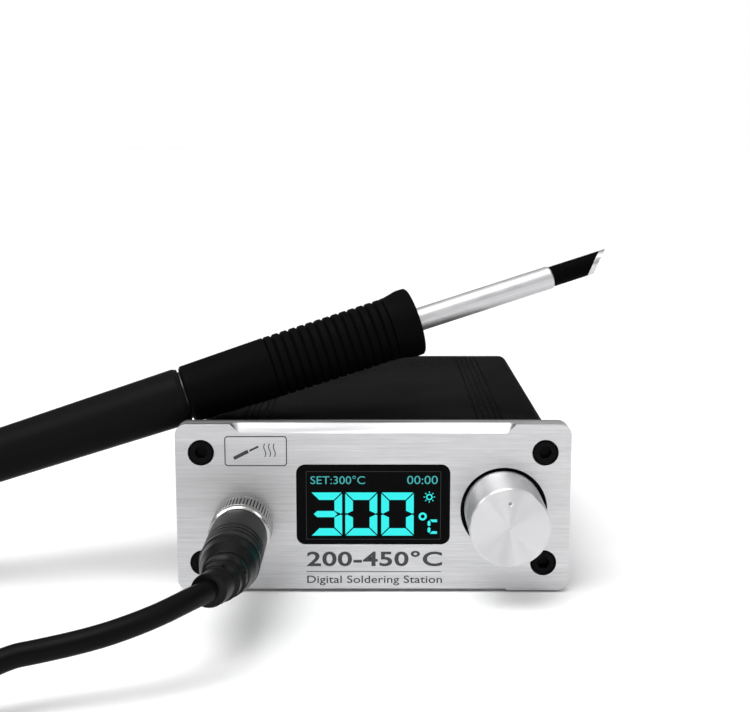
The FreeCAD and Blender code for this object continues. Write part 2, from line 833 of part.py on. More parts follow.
# hook-up wires from the round socket to its board connector, and from the inlet
input_socket_top = board_top + input_socket_size[2]
socket_wires = []
for i in (-1, 0, 1):
    wire_x = socket_x + i * pin_circle_radius
    plug_x, plug_y = board_point(input_socket_place, i * input_socket_pitch)
    wire_points = [Vector(wire_x, socket_end + 2.6, socket_z + 1.0),
                   Vector(wire_x, socket_end + 8.0, socket_z + 3.0),
                   Vector(plug_x, plug_y, input_socket_top + 7.0),
                   Vector(plug_x, plug_y, input_socket_top)]
    socket_wires.append(tube_along(wire_points, wire_radius)[0])
save("socket_wires", *socket_wires)
inlet_wires = []
for i in (-1, 1):
    start = Vector(jack_x + 2.5 * i, rear_face + jack_flange_thickness - jack_length, jack_z)
    wire_end = main_board_front + inlet_wire_along * main_board_length
    wire_points = [start, start + Vector(0, -5.0, 0),
                   Vector(jack_x + 3.5 * i, wire_end, board_top + 5.0),
                   Vector(jack_x + 3.5 * i, wire_end, board_top)]
    inlet_wires.append(tube_along(wire_points, wire_radius)[0])
save("inlet_wires", *inlet_wires)


# ---- iron ---------------------------------------------------------------------------
# Every piece is made along +X from the joint and then laid over the case's edge.
iron_turn = FreeCAD.Rotation(Vector(0, 0, 1), iron_azimuth).multiply(
    FreeCAD.Rotation(Vector(0, 1, 0), -iron_pitch))
iron_slope = math.radians(iron_pitch)
rest_rise = ((iron_joint_side + case_corner_radius) * math.tan(iron_slope)
             / math.cos(math.radians(iron_azimuth)))
iron_joint = Vector(-case_width / 2 - iron_joint_side, panel_thickness + iron_joint_back,
                    case_top + iron_rest_gap + grip_rear_radius / math.cos(iron_slope)
                    - rest_rise)
iron_place = FreeCAD.Placement(iron_joint, iron_turn)
iron_axis = iron_turn.multVec(Vector(1, 0, 0))


def laid(shape):
    """The shape moved from the iron's own axis to where the iron lies."""
    copy = shape.copy()
    copy.Placement = iron_place.multiply(copy.Placement)
    return copy


def hollow(profile, bores):
    """A turned solid with round bores, each (start, end, radius)."""
    solid = turned(profile)
    for start, end, radius in bores:
        solid = solid.cut(Part.makeCylinder(radius, end - start, Vector(start, 0, 0),
                                            Vector(1, 0, 0)))
    return solid


cartridge_bore_radius = cartridge_radius + close_gap
grip_start = grip_gap
grip_end = grip_start + grip_length
core_end = grip_end - grip_nose_wall
core_radius = grip_bore_radius - slide_gap
insert_radius = body_bore_radius - slide_gap
tail_end = -body_length - tail_flange_length
relief_tail_end = tail_end - tail_relief_length
carrier_front = -core_insert_length - 0.5
carrier_back = cartridge_rear - 2.5
band_starts = [cartridge_rear, cartridge_rear + 1.5 * band_length]


def handle_body():
    """Dark tapered sleeve of the handle."""
    return hollow([(-body_length, body_rear_radius - body_edge),
                   (-body_length + body_edge, body_rear_radius),
                   (-body_taper_length, body_rear_radius),
                   (-body_front_edge, body_front_radius),
                   (0, body_front_radius - body_edge)],
                  [(-body_length - 1, 1, body_bore_radius)])


def handle_grip():
    """Soft grip: a plain rear, close ribs, and a flare to a lip."""
    profile = [(grip_start, grip_rear_radius - grip_edge),
               (grip_start + grip_edge, grip_rear_radius)]
    for i in range(grip_rib_count):
        start = grip_rib_start + i * grip_rib_pitch
        end = start + grip_groove_width
        crest = grip_rib_radius + (grip_last_rib_radius - grip_rib_radius) * i / grip_rib_count
        profile += [(start, crest), (start + grip_groove_slope, crest - grip_rib_depth),
                    (end - grip_groove_slope, crest - grip_rib_depth), (end, crest)]
    rib_end = grip_rib_start + grip_rib_count * grip_rib_pitch
    profile += [(rib_end, grip_last_rib_radius),
                (grip_end - grip_lip_length, grip_front_radius),
                (grip_end - body_edge, grip_front_radius),
                (grip_end, grip_front_radius - body_edge)]
    return hollow(profile, [(grip_start - 1, core_end, grip_bore_radius),
                            (core_end - 1, grip_end + 1, cartridge_bore_radius + loose_gap)])


def grip_core():
    """Stiff core under the grip; it plugs into the body and guides the cartridge."""
    return hollow([(-core_insert_length, insert_radius), (0, insert_radius),
                   (0, body_front_radius - 1.0), (grip_start, body_front_radius - 1.0),
                   (grip_start, core_radius), (core_end, core_radius)],
                  [(-core_insert_length - 1, core_end + 1, cartridge_bore_radius)])


def tail_cap():
    """Cap in the handle's tail, with the hole that the lead comes through."""
    return hollow([(tail_end, tail_flange_radius - 0.5), (tail_end + 0.5, tail_flange_radius),
                   (-body_length, tail_flange_radius), (-body_length, insert_radius),
                   (-body_length + tail_cap_length, insert_radius)],
                  [(tail_end - 1, -body_length + tail_cap_length + 1, cord_radius)])


def contact_carrier():
    """Sleeve in the body that holds the spring contacts round the cartridge."""
    carrier = hollow([(carrier_back - 2.0, insert_radius), (carrier_front, insert_radius)],
                     [(carrier_back, carrier_front + 1, cartridge_bore_radius + close_gap)])
    for start in band_starts:
        carrier = carrier.cut(Part.makeCylinder(cartridge_bore_radius + 0.85, 2.0,
                                                Vector(start + 3.0, 0, 0), Vector(1, 0, 0)))
    return carrier


def contact_rings():
    """Spring contacts that touch the cartridge's bands."""
    return [hollow([(start + 3.05, cartridge_bore_radius + 0.8),
                    (start + 4.95, cartridge_bore_radius + 0.8)],
                   [(start + 3.0, start + 5.0, cartridge_bore_radius)]) for start in band_starts]


def cartridge_tube():
    """Steel sleeve of the tip cartridge."""
    return hollow([(cartridge_tube_rear, cartridge_radius), (cartridge_front - 0.3, cartridge_radius),
                   (cartridge_front, cartridge_radius - 0.3)],
                  [(cartridge_tube_rear - 1, cartridge_front + 1,
                    cartridge_radius - cartridge_wall)])


def cartridge_spacers():
    """Insulating rear of the cartridge that carries the contact bands."""
    spacer = turned([(cartridge_rear, cartridge_radius - cartridge_wall),
                     (cartridge_tube_rear + 3.0, cartridge_radius - cartridge_wall)])
    for start, end in ((band_starts[0] + band_length, band_starts[1]),
                       (band_starts[1] + band_length, cartridge_tube_rear)):
        spacer = spacer.fuse(turned([(start, cartridge_radius), (end, cartridge_radius)]))
    return spacer


def contact_bands():
    """Metal bands round the cartridge's insulating rear."""
    return [hollow([(start, cartridge_radius), (start + band_length, cartridge_radius)],
                   [(start - 1, start + band_length + 1, cartridge_radius - cartridge_wall)])
            for start in band_starts]


def beyond_cut(place):
    """Everything past a slanted plane that crosses the axis at a place."""
    reach = 4 * cartridge_radius
    beyond = Part.makeBox(2 * reach, 2 * reach, 4 * reach, Vector(0, -reach, -2 * reach))
    beyond.rotate(Vector(0, 0, 0), Vector(0, 1, 0), tip_cut_angle)
    beyond.rotate(Vector(0, 0, 0), Vector(1, 0, 0), -tip_cut_roll)
    beyond.translate(Vector(place, 0, 0))
    return beyond


tip_end = cartridge_front + tip_length
tinned_end = tip_end + tinned_length
tip_reach = tinned_end + tip_radius / math.cos(math.radians(tip_cut_angle))
root_radius = cartridge_radius - cartridge_wall
heater_end = cartridge_front - 4.0
tip_rod = turned([(heater_end, root_radius), (cartridge_front, root_radius),
                  (cartridge_front, tip_radius), (tip_reach, tip_radius)])
heating_tip = tip_rod.cut(beyond_cut(tip_end))
tinned_edge = tip_rod.common(beyond_cut(tip_end)).cut(beyond_cut(tinned_end))

tail_relief_points = [(tail_end - s, r) for s, r in
                      ribbed_relief(tail_relief_radius, tail_relief_tip_radius,
                                    tail_relief_length, 6)]
handle_board_back = -body_length + tail_cap_length + 2.0
handle_board_front = carrier_back - 3.5
board_middle = (handle_board_back + handle_board_front) / 2

save("handle_body", laid(handle_body()))
save("handle_tail_cap", laid(tail_cap()))
save("handle_strain_relief", laid(turned(tail_relief_points[::-1])))
save("grip_core", laid(grip_core()))
save("handle_grip", laid(handle_grip()))
save("contact_carrier", laid(contact_carrier()))
save("contact_rings", *[laid(ring) for ring in contact_rings()])
save("handle_board", laid(box(handle_board_back, handle_board_front, -4.2, 4.2, -1.6, -0.4)))
save("sleep_switch", laid(Part.makeCylinder(1.7, 9.0, Vector(board_middle, 0, 1.3), Vector(1, 0, 0))))
save("cartridge_tube", laid(cartridge_tube()))
save("cartridge_spacers", laid(cartridge_spacers()))
save("contact_bands", *[laid(band) for band in contact_bands()])
save("heater_core", laid(turned([(cartridge_tube_rear + 3.0, 1.6), (heater_end, 1.6)])))
save("heating_tip", laid(heating_tip))
save("tinned_edge", laid(tinned_edge))


# ---- the iron's lead ----------------------------------------------------------------
# One lead of one length: a stretch from the plug to a put-away coil, the coil of two
# layers of three turns, and a stretch from the coil to the handle's tail.
coil_centre = Vector(-124.0, -62.0, 0)
coil_radius = 29.5          # to the middle of the outer turns
coil_turns_wide = 3
coil_layers = 2
coil_entry_angle = -60.0
coil_exit_angle = -120.0
coil_tail = 20.0            # straight ends of the lead that belong to the coil's solid
coil_skin = 0.05            # the ring stands this much proud of the turns in it

layer_low = cord_radius + coil_skin
layer_high = layer_low + (coil_layers - 1) * cord_diameter


def on_coil(angle, z):
    """A point on the outer turn and the direction in which the lead runs there."""
    radians = math.radians(angle)
    place = coil_centre + Vector(math.cos(radians), math.sin(radians), 0) * coil_radius
    return Vector(place.x, place.y, z), Vector(math.sin(radians), -math.cos(radians), 0)


entry_point, entry_heading = on_coil(coil_entry_angle, layer_low)
exit_point, exit_heading = on_coil(coil_exit_angle, layer_high)
entry_end = entry_point - entry_heading * coil_tail
exit_end = exit_point + exit_heading * coil_tail


def cord_coil():
    """The coil's outer shape: a flat ring with the lead's two straight ends."""
    ring_top = coil_layers * cord_diameter + 2 * coil_skin
    ring = rod_z(coil_centre.x, coil_centre.y, coil_radius + cord_radius + coil_skin,
                 0, ring_top)
    hole_radius = coil_radius - (coil_turns_wide - 1) * cord_diameter - cord_radius
    ring = ring.cut(rod_z(coil_centre.x, coil_centre.y, hole_radius, -1, ring_top + 1))
    end_in = Part.makeCylinder(cord_radius, coil_tail, entry_end, entry_heading)
    end_out = Part.makeCylinder(cord_radius, coil_tail, exit_point, exit_heading)
    return ring.fuse(end_in).fuse(end_out)


plug_side_points = [
    Vector(socket_x, relief_end, socket_z),
    Vector(socket_x, relief_end - 7.7, socket_z),
    Vector(-33.2, -59.2, 16.7),
    Vector(-39.9, -63.0, 16.3),
    Vector(-48.2, -63.8, 14.2),
    Vector(-57.6, -64.2, 12.3),
    Vector(-70.5, -66.0, 9.6),
    entry_end - entry_heading * 10.0,
    entry_end,
]
tail_point = iron_joint + iron_axis * relief_tail_end
iron_side_points = [
    exit_end,
    exit_end + exit_heading * 10.0,
    Vector(-173.2, -64.4, 4.9),
    Vector(-179.8, -54.6, 3.2),
    Vector(-183.9, -43.4, 2.4),
    Vector(-184.4, -31.6, 2.3),
    Vector(-179.4, -20.6, 2.7),
    tail_point - iron_axis * 10.5,
    tail_point,
]
for name, points in (("cord_plug_side", plug_side_points), ("cord_iron_side", iron_side_points)):
    tube, radii, length = tube_along(points, cord_radius)
    expected = math.pi * cord_radius ** 2 * length
    print(name, "radii", [round(r, 1) for r in radii], "length", round(length, 1),
          "volume over section x length", round(tube.Volume / expected, 4))
    save(name, tube)
save("cord_coil", cord_coil())
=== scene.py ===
import json
import math

import bmesh
import bpy
import numpy as np
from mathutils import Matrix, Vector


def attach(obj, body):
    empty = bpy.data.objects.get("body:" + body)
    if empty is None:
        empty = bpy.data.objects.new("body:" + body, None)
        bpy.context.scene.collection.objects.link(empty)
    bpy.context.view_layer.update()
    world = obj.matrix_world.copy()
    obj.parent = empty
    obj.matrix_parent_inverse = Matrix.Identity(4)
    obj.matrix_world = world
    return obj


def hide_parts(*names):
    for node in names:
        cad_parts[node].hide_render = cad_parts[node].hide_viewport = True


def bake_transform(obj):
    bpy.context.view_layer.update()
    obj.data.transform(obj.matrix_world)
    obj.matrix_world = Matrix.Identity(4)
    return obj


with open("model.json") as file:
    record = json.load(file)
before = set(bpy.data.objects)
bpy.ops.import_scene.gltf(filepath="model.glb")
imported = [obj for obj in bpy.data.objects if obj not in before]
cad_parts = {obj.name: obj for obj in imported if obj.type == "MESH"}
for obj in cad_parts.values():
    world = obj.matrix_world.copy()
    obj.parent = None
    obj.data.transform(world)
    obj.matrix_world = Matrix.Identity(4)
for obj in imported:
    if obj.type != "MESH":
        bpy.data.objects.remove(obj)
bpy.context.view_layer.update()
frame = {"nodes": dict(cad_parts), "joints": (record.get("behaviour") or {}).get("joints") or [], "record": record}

mm = 0.001
joints = {joint["name"]: joint for joint in frame["joints"]}
scene = bpy.context.scene


# unit vector, row by row
def unit(v):
    v = np.asarray(v, float)
    return v / np.linalg.norm(v, axis=-1, keepdims=True)


# 0 below low, 1 above high, and 3t^2 - 2t^3 between them
def ease(low, high, x):
    t = np.clip((x - low) / (high - low), 0, 1)
    return t * t * (3 - 2 * t)


# Camera and light
camera = {
    "place": (0.00040, -0.2795, 0.0991),
    "pitchDown": 9.217,
    "lens": 62.4,
    "sensor": 36.0,
    "nearest": 0.01,
}
light = {
    "aim": (0.0, 0.03, 0.03),
    "sky": [(0.0, 1.0), (0.115, 1.0), (0.22, 0.24), (0.62, 0.24), (0.86, 1.0)],
    "sun": {"from": (-0.25, -0.35, 1.0), "strength": 2.06, "spread": 40.0},
    "left": {"place": (-0.55, -0.40, 0.45), "size": 0.22, "power": 1.6},
    "right": {"place": (0.50, -0.45, 0.50), "size": 0.25, "power": 0.8},
    "low": {"place": (-0.35, -0.55, 0.10), "size": 0.16, "power": 0.12},
}


def addCamera():
    data = bpy.data.cameras.new("camera")
    data.lens = camera["lens"]
    data.sensor_width = camera["sensor"]
    data.clip_start = camera["nearest"]
    seen = bpy.data.objects.new("camera", data)
    seen.location = camera["place"]
    seen.rotation_euler = (math.radians(90 - camera["pitchDown"]), 0, 0)
    scene.collection.objects.link(seen)
    scene.camera = seen


# The sky's brightness follows the height of the direction: a bright band near the horizon,
# a dark one above it and a bright softbox overhead.
def addLights():
    world = bpy.data.worlds.new("studio")
    world.use_nodes = True
    nodes, link = world.node_tree.nodes, world.node_tree.links.new
    where = nodes.new("ShaderNodeTexCoord")
    split = nodes.new("ShaderNodeSeparateXYZ")
    ramp = nodes.new("ShaderNodeValToRGB")
    ramp.color_ramp.interpolation = "EASE"
    while len(ramp.color_ramp.elements) < len(light["sky"]):
        ramp.color_ramp.elements.new(0.5)
    for element, (height, value) in zip(ramp.color_ramp.elements, light["sky"]):
        element.position = height
        element.color = (value, value, value, 1)
    link(where.outputs["Generated"], split.inputs[0])
    link(split.outputs["Z"], ramp.inputs[0])
    link(ramp.outputs[0], nodes["Background"].inputs["Color"])
    scene.world = world
    data = bpy.data.lights.new("sunLight", "SUN")
    data.energy = light["sun"]["strength"]
    data.angle = math.radians(light["sun"]["spread"])
    lamp = bpy.data.objects.new("sunLight", data)
    lamp.rotation_euler = Vector(light["sun"]["from"]).to_track_quat("Z", "Y").to_euler()
    scene.collection.objects.link(lamp)
    for name in ("left", "right", "low"):
        values = light[name]
        data = bpy.data.lights.new(name + "Light", "AREA")
        data.size = values["size"]
        data.energy = values["power"]
        lamp = bpy.data.objects.new(name + "Light", data)
        lamp.location = values["place"]
        aim = np.array(light["aim"]) - np.array(values["place"])
        lamp.rotation_euler = Vector(aim).to_track_quat("-Z", "Y").to_euler()
        scene.collection.objects.link(lamp)


# The points of a mesh as rows of x, y, z
def pointsOf(mesh):
    points = np.zeros(len(mesh.vertices) * 3)
    mesh.vertices.foreach_get("co", points)
    return points.reshape(-1, 3)


def putPoints(mesh, points):
    mesh.vertices.foreach_set("co", points.ravel())
    mesh.update()


# Runs one edit on a mesh's faces, edges and corners
def rework(mesh, edit):
    work = bmesh.new()
    work.from_mesh(mesh)
    edit(work)
    work.to_mesh(mesh)
    work.free()


# The faces whose middles are picked take a second material
def secondMaterial(piece, material, picked):
    piece.data.materials.append(material)
    middles = np.zeros(len(piece.data.polygons) * 3)
    piece.data.polygons.foreach_get("center", middles)
    chosen = picked(middles.reshape(-1, 3))
    piece.data.polygons.foreach_set("material_index", chosen.astype(int))


# Quads between neighbouring rows and columns of a grid of points. The last column joins the
# first, closed rows do so too, and a pole closes an end row with one point.
def surface(name, grid, along, closedRows=False, poles=(None, None), sharp=None):
    rows, columns = grid.shape[:2]
    points = grid.reshape(-1, 3)
    i, j = np.meshgrid(np.arange(rows if closedRows else rows - 1), np.arange(columns),
                       indexing="ij")
    i, j = i.ravel(), j.ravel()
    nextI, nextJ = (i + 1) % rows, (j + 1) % columns
    quads = np.stack([i * columns + j, nextI * columns + j,
                      nextI * columns + nextJ, i * columns + nextJ], -1)
    stretch = np.append(along, along[-1] + (along[-1] - along[-2]))
    u = np.stack([stretch[i], stretch[i + 1], stretch[i + 1], stretch[i]], -1)
    v = np.stack([j, j, j + 1, j + 1], -1) / columns
    faces = quads.tolist()
    uv = [np.stack([u, v], -1).reshape(-1, 2)]
    for end, pole in enumerate(poles):
        if pole is None:
            continue
        k = np.arange(columns)
        ring = (0 if end == 0 else (rows - 1) * columns) + k
        ringNext = ring - k + (k + 1) % columns
        centre = np.full(columns, len(points))
        points = np.vstack([points, pole])
        fan = [ringNext, ring, centre] if end == 0 else [ring, ringNext, centre]
        faces += np.stack(fan, -1).tolist()
        edge = stretch[0 if end == 0 else rows - 1]
        uv.append(np.stack([np.full(3 * columns, edge),
                            np.repeat(k / columns, 3)], -1))
    mesh = bpy.data.meshes.new(name)
    mesh.from_pydata(points.tolist(), [], faces)
    layer = mesh.uv_layers.new(name="along")
    layer.data.foreach_set("uv", np.concatenate(uv).astype(np.float32).ravel())
    return finished(name, mesh, sharp)


# Turns the faces outwards, shades them smooth and links the object
def finished(name, mesh, sharp=None):
    rework(mesh, lambda work: bmesh.ops.recalc_face_normals(work, faces=work.faces))
    mesh.shade_smooth()
    if sharp:
        mesh.set_sharp_from_angle(angle=math.radians(sharp))
    piece = bpy.data.objects.new(name, mesh)
    scene.collection.objects.link(piece)
    return piece


# Each corner of the outline gives way to the quadratic curve (1-t)^2 a + 2t(1-t) b + t^2 c,
# with a row close by on both sides that keeps the flat runs flat.
def softened(profile, cut, closed=False):
    steps, mostOfRun, guardAt = 4, 0.4, 1.2
    p = np.asarray(profile, float)
    before, corner, after = (
        (np.roll(p, 1, 0), p, np.roll(p, -1, 0)) if closed else (p[:-2], p[1:-1], p[2:]))
    back, ahead = before - corner, after - corner
    backLength = np.linalg.norm(back, axis=1, keepdims=True)
    aheadLength = np.linalg.norm(ahead, axis=1, keepdims=True)
    reach = np.minimum(cut, mostOfRun * np.minimum(backLength, aheadLength))
    a = corner + back / backLength * reach
    c = corner + ahead / aheadLength * reach
    t = np.linspace(0, 1, steps + 1)[None, :, None]
    curve = (1 - t) ** 2 * a[:, None] + 2 * t * (1 - t) * corner[:, None] + t * t * c[:, None]
    guarded = [(corner + back / backLength * reach * guardAt)[:, None], curve,
               (corner + ahead / aheadLength * reach * guardAt)[:, None]]
    rows = np.concatenate(guarded, 1).reshape(-1, 2)
    return rows if closed else np.concatenate([p[:1], rows, p[-1:]])


# Length run along a line of points, from 0 at the first
def runAlong(points):
    return np.append(0, np.cumsum(np.linalg.norm(np.diff(points, axis=0), axis=1)))


# A profile of (distance along the axis, radius), carried round the axis:
# point = base + s axis + r (side cos a + up sin a), where shape may change r with s and a.
# The UV's first value is the run along the profile in centimetres.
def turned(name, profile, base, axis, cut=0.2 * mm, around=96, shape=None, closed=False,
           soften=True, sharp=None):
    rows = softened(profile, cut, closed=closed) if soften else np.asarray(profile, float)
    axis = unit(axis)
    side = unit(np.cross(axis, (0, 0, 1)))
    up = np.cross(side, axis)
    base = np.asarray(base, float)
    poles = [None, None]
    if not closed:
        if rows[0, 1] == 0:
            poles[0] = base + axis * rows[0, 0]
            rows = rows[1:]
        if rows[-1, 1] == 0:
            poles[1] = base + axis * rows[-1, 0]
            rows = rows[:-1]
    angle = np.arange(around) / around * 2 * math.pi
    s, a = np.meshgrid(rows[:, 0], angle, indexing="ij")
    r = np.repeat(rows[:, 1:], around, 1)
    if shape:
        r = shape(s, a, r)
    ring = np.cos(a)[..., None] * side + np.sin(a)[..., None] * up
    grid = base + s[..., None] * axis + r[..., None] * ring
    return surface(name, grid, runAlong(rows) / 0.01, closed, poles, sharp)


# A copy of a CAD node with its loose triangles merged, its flat faces made whole again and
# its edges broken by a small bevel.
def eased(node, width, name):
    mergeWithin, flatWithin, edgeFrom = 2e-6, math.radians(0.6), math.radians(28)
    mesh = frame["nodes"][node].data.copy()
    mesh.name = name

    def merge(work):
        bmesh.ops.remove_doubles(work, verts=work.verts, dist=mergeWithin)
        bmesh.ops.dissolve_limit(work, angle_limit=flatWithin, verts=work.verts,
                                 edges=work.edges)

    rework(mesh, merge)
    mesh.materials.clear()
    mesh.shade_smooth()
    mesh.set_sharp_from_angle(angle=edgeFrom)
    piece = bpy.data.objects.new(mesh.name, mesh)
    scene.collection.objects.link(piece)
    bevel = piece.modifiers.new("edges", "BEVEL")
    bevel.width = width
    bevel.segments = 2
    bevel.limit_method = "ANGLE"
    bevel.angle_limit = edgeFrom
    bevel.use_clamp_overlap = True
    bevel.harden_normals = True
    bevel.miter_outer = "MITER_ARC"
    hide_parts(node)
    return piece


bodyOf = {node: body for body, nodes in frame["record"]["behaviour"]["bodies"].items()
          for node in nodes}


# Gives a piece its material and its body
def settle(piece, material, body):
    piece.data.materials.clear()
    piece.data.materials.append(material)
    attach(piece, body)
    return piece


# An empty node group with its sockets: (label, kind, value) in and (label, kind) out
def newGroup(name, inputs, outputs):
    group = bpy.data.node_groups.new(name, "ShaderNodeTree")
    for label, kind, value in inputs:
        socket = group.interface.new_socket(name=label, in_out="INPUT", socket_type=kind)
        if value is not None:
            socket.default_value = value
    for label, kind in outputs:
        group.interface.new_socket(name=label, in_out="OUTPUT", socket_type=kind)
    return group, group.nodes.new("NodeGroupInput"), group.nodes.new("NodeGroupOutput")


# A new node with its settings and its fixed inputs
def addNode(tree, kind, inputs=None, **settings):
    node = tree.nodes.new("ShaderNode" + kind)
    for key, value in settings.items():
        setattr(node, key, value)
    for key, value in (inputs or {}).items():
        node.inputs[key].default_value = value
    return node


# Links, given as rows of (giving node, output, taking node, input)
def wire(tree, *rows):
    for giver, output, taker, target in rows:
        tree.links.new(giver.outputs[output], taker.inputs[target])


# Fine grain: a noise of the given scale, as a shade from 0 to 1 and as a bumped normal
def grainGroup():
    group, enter, leave = newGroup(
        "fineGrain",
        [("Vector", "NodeSocketVector", None), ("Scale", "NodeSocketFloat", 3000.0),
         ("Detail", "NodeSocketFloat", 3.0), ("Depth", "NodeSocketFloat", 0.00001),
         ("Normal", "NodeSocketVector", None)],
        [("Shade", "NodeSocketFloat"), ("Normal", "NodeSocketVector")])
    noise, bump = addNode(group, "TexNoise"), addNode(group, "Bump")
    wire(group, (enter, "Vector", noise, "Vector"), (enter, "Scale", noise, "Scale"),
         (enter, "Detail", noise, "Detail"), (noise, "Fac", bump, "Height"),
         (enter, "Depth", bump, "Distance"), (enter, "Normal", bump, "Normal"),
         (noise, "Fac", leave, "Shade"), (bump, "Normal", leave, "Normal"))
    return group


# Drawn or brushed lines: a noise on coordinates squeezed along one direction, in two widths
def lineGroup():
    group, enter, leave = newGroup(
        "drawnLines",
        [("Vector", "NodeSocketVector", None), ("Squeeze", "NodeSocketVector", (0.03, 1, 1)),
         ("Scale", "NodeSocketFloat", 6000.0), ("Depth", "NodeSocketFloat", 0.00001),
         ("Normal", "NodeSocketVector", None)],
        [("Shade", "NodeSocketFloat"), ("Normal", "NodeSocketVector")])
    squeeze = addNode(group, "VectorMath", operation="MULTIPLY")
    fine = addNode(group, "TexNoise", {"Detail": 2.0})
    coarse = addNode(group, "TexNoise", {"Detail": 3.0})
    wider = addNode(group, "Math", {1: 0.22}, operation="MULTIPLY")
    both = addNode(group, "Math", operation="ADD")
    half = addNode(group, "Math", {1: 0.5}, operation="MULTIPLY")
    bump = addNode(group, "Bump")
    wire(group, (enter, "Vector", squeeze, 0), (enter, "Squeeze", squeeze, 1),
         (squeeze, 0, fine, "Vector"), (squeeze, 0, coarse, "Vector"),
         (enter, "Scale", fine, "Scale"), (enter, "Scale", wider, 0),
         (wider, 0, coarse, "Scale"), (fine, "Fac", both, 0), (coarse, "Fac", both, 1),
         (both, 0, half, 0), (half, 0, bump, "Height"), (enter, "Depth", bump, "Distance"),
         (enter, "Normal", bump, "Normal"), (half, 0, leave, "Shade"),
         (bump, "Normal", leave, "Normal"))
    return group


# Handling marks: soft cloudy patches between a low and a high value
def handlingGroup():
    group, enter, leave = newGroup(
        "handlingMarks",
        [("Vector", "NodeSocketVector", None), ("Scale", "NodeSocketFloat", 60.0),
         ("Low", "NodeSocketFloat", 0.3), ("High", "NodeSocketFloat", 0.5)],
        [("Value", "NodeSocketFloat")])
    noise = addNode(group, "TexNoise", {"Detail": 4.0, "Distortion": 0.6})
    spread = addNode(group, "MapRange", {"From Min": 0.32, "From Max": 0.68})
    wire(group, (enter, "Vector", noise, "Vector"), (enter, "Scale", noise, "Scale"),
         (noise, "Fac", spread, "Value"), (enter, "Low", spread, "To Min"),
         (enter, "High", spread, "To Max"), (spread, "Result", leave, "Value"))
    return group


# Settled dust: specks on what faces up, as a mask from 0 to the given amount
def dustGroup():
    group, enter, leave = newGroup(
        "settledDust",
        [("Vector", "NodeSocketVector", None), ("Scale", "NodeSocketFloat", 1800.0),
         ("Amount", "NodeSocketFloat", 0.2)],
        [("Mask", "NodeSocketFloat")])
    noise = addNode(group, "TexNoise", {"Detail": 2.0})
    specks = addNode(group, "MapRange", {"From Min": 0.62, "From Max": 0.75})
    facing, split = addNode(group, "NewGeometry"), addNode(group, "SeparateXYZ")
    upward = addNode(group, "MapRange", {"From Min": 0.5})
    both = addNode(group, "Math", operation="MULTIPLY")
    amount = addNode(group, "Math", operation="MULTIPLY")
    wire(group, (enter, "Vector", noise, "Vector"), (enter, "Scale", noise, "Scale"),
         (noise, "Fac", specks, "Value"), (facing, "Normal", split, 0),
         (split, "Z", upward, "Value"), (specks, "Result", both, 0),
         (upward, "Result", both, 1), (both, 0, amount, 0), (enter, "Amount", amount, 1),
         (amount, 0, leave, "Mask"))
    return group


groups = {"grain": grainGroup(), "lines": lineGroup(), "handling": handlingGroup(),
          "dust": dustGroup()}
print("node groups made")


dustColour = (0.55, 0.53, 0.50, 1)


# A material with its tree and its shader, whose fixed sockets are set
def newMaterial(name, fixed):
    material = bpy.data.materials.new(name)
    material.use_nodes = True
    shader = material.node_tree.nodes["Principled BSDF"]
    for socket, value in fixed.items():
        if value is not None:
            shader.inputs[socket].default_value = value
    return material, material.node_tree, shader


# Every finish starts from two colours mixed by its grain or its lines, a roughness that
# drifts with handling, and a bumped normal; dust is added where dust shows.
def finish(name, low, high, roughness, metallic=0.0, grain=None, lines=None, dust=None,
           turn=None, specular=None, anisotropy=None, edgeTint=None, along=False, marks=60.0):
    tint = edgeTint and (edgeTint, edgeTint, edgeTint, 1)
    material, tree, shader = newMaterial(name, {
        "Metallic": metallic, "Specular IOR Level": specular, "Specular Tint": tint,
        "Anisotropic": anisotropy})
    link = tree.links.new
    source = addNode(tree, "TexCoord").outputs["UV" if along else "Object"]
    if turn:
        turning = addNode(tree, "Mapping", {"Rotation": turn}, vector_type="TEXTURE")
        link(source, turning.inputs["Vector"])
        source = turning.outputs[0]

    def effect(group, **values):
        node = addNode(tree, "Group", node_tree=groups[group])
        for key, value in values.items():
            node.inputs[key.capitalize()].default_value = value
        link(source, node.inputs["Vector"])
        return node

    shade, normal = None, None
    if lines:
        node = effect("lines", **lines)
        shade, normal = node.outputs["Shade"], node.outputs["Normal"]
    if grain:
        node = effect("grain", **grain)
        if normal:
            link(normal, node.inputs["Normal"])
        shade = shade or node.outputs["Shade"]
        normal = node.outputs["Normal"]
    mix = addNode(tree, "Mix", {6: (*low, 1), 7: (*high, 1)}, data_type="RGBA")
    spread = addNode(tree, "MapRange", {"From Min": 0.3, "From Max": 0.7})
    link(shade, spread.inputs["Value"])
    link(spread.outputs["Result"], mix.inputs[0])
    link(normal, shader.inputs["Normal"])
    colour = mix.outputs[2]
    if dust:
        mask = effect("dust", amount=dust).outputs["Mask"]
        settled = addNode(tree, "Mix", {7: dustColour}, data_type="RGBA")
        link(mask, settled.inputs[0])
        link(colour, settled.inputs[6])
        colour = settled.outputs[2]
    link(colour, shader.inputs["Base Color"])
    drift = effect("handling", scale=marks, low=roughness[0], high=roughness[1])
    link(drift.outputs["Value"], shader.inputs["Roughness"])
    return material


# A lit mark behind the window: it shines forward, and fades for what looks along the face
def lit(name, colour, strength):
    material = finish(name, tuple(c * 0.03 for c in colour), tuple(c * 0.04 for c in colour),
                      (0.3, 0.4), grain={"scale": 2500, "depth": 0.0})
    tree = material.node_tree
    shader = tree.nodes["Principled BSDF"]
    slant = addNode(tree, "LayerWeight")
    fade = addNode(tree, "MapRange", {"From Min": 0.05, "From Max": 0.20,
                                      "To Min": strength, "To Max": strength * 0.3})
    wire(tree, (slant, "Facing", fade, "Value"), (fade, "Result", shader, "Emission Strength"))
    shader.inputs["Emission Color"].default_value = (*colour, 1)
    return material


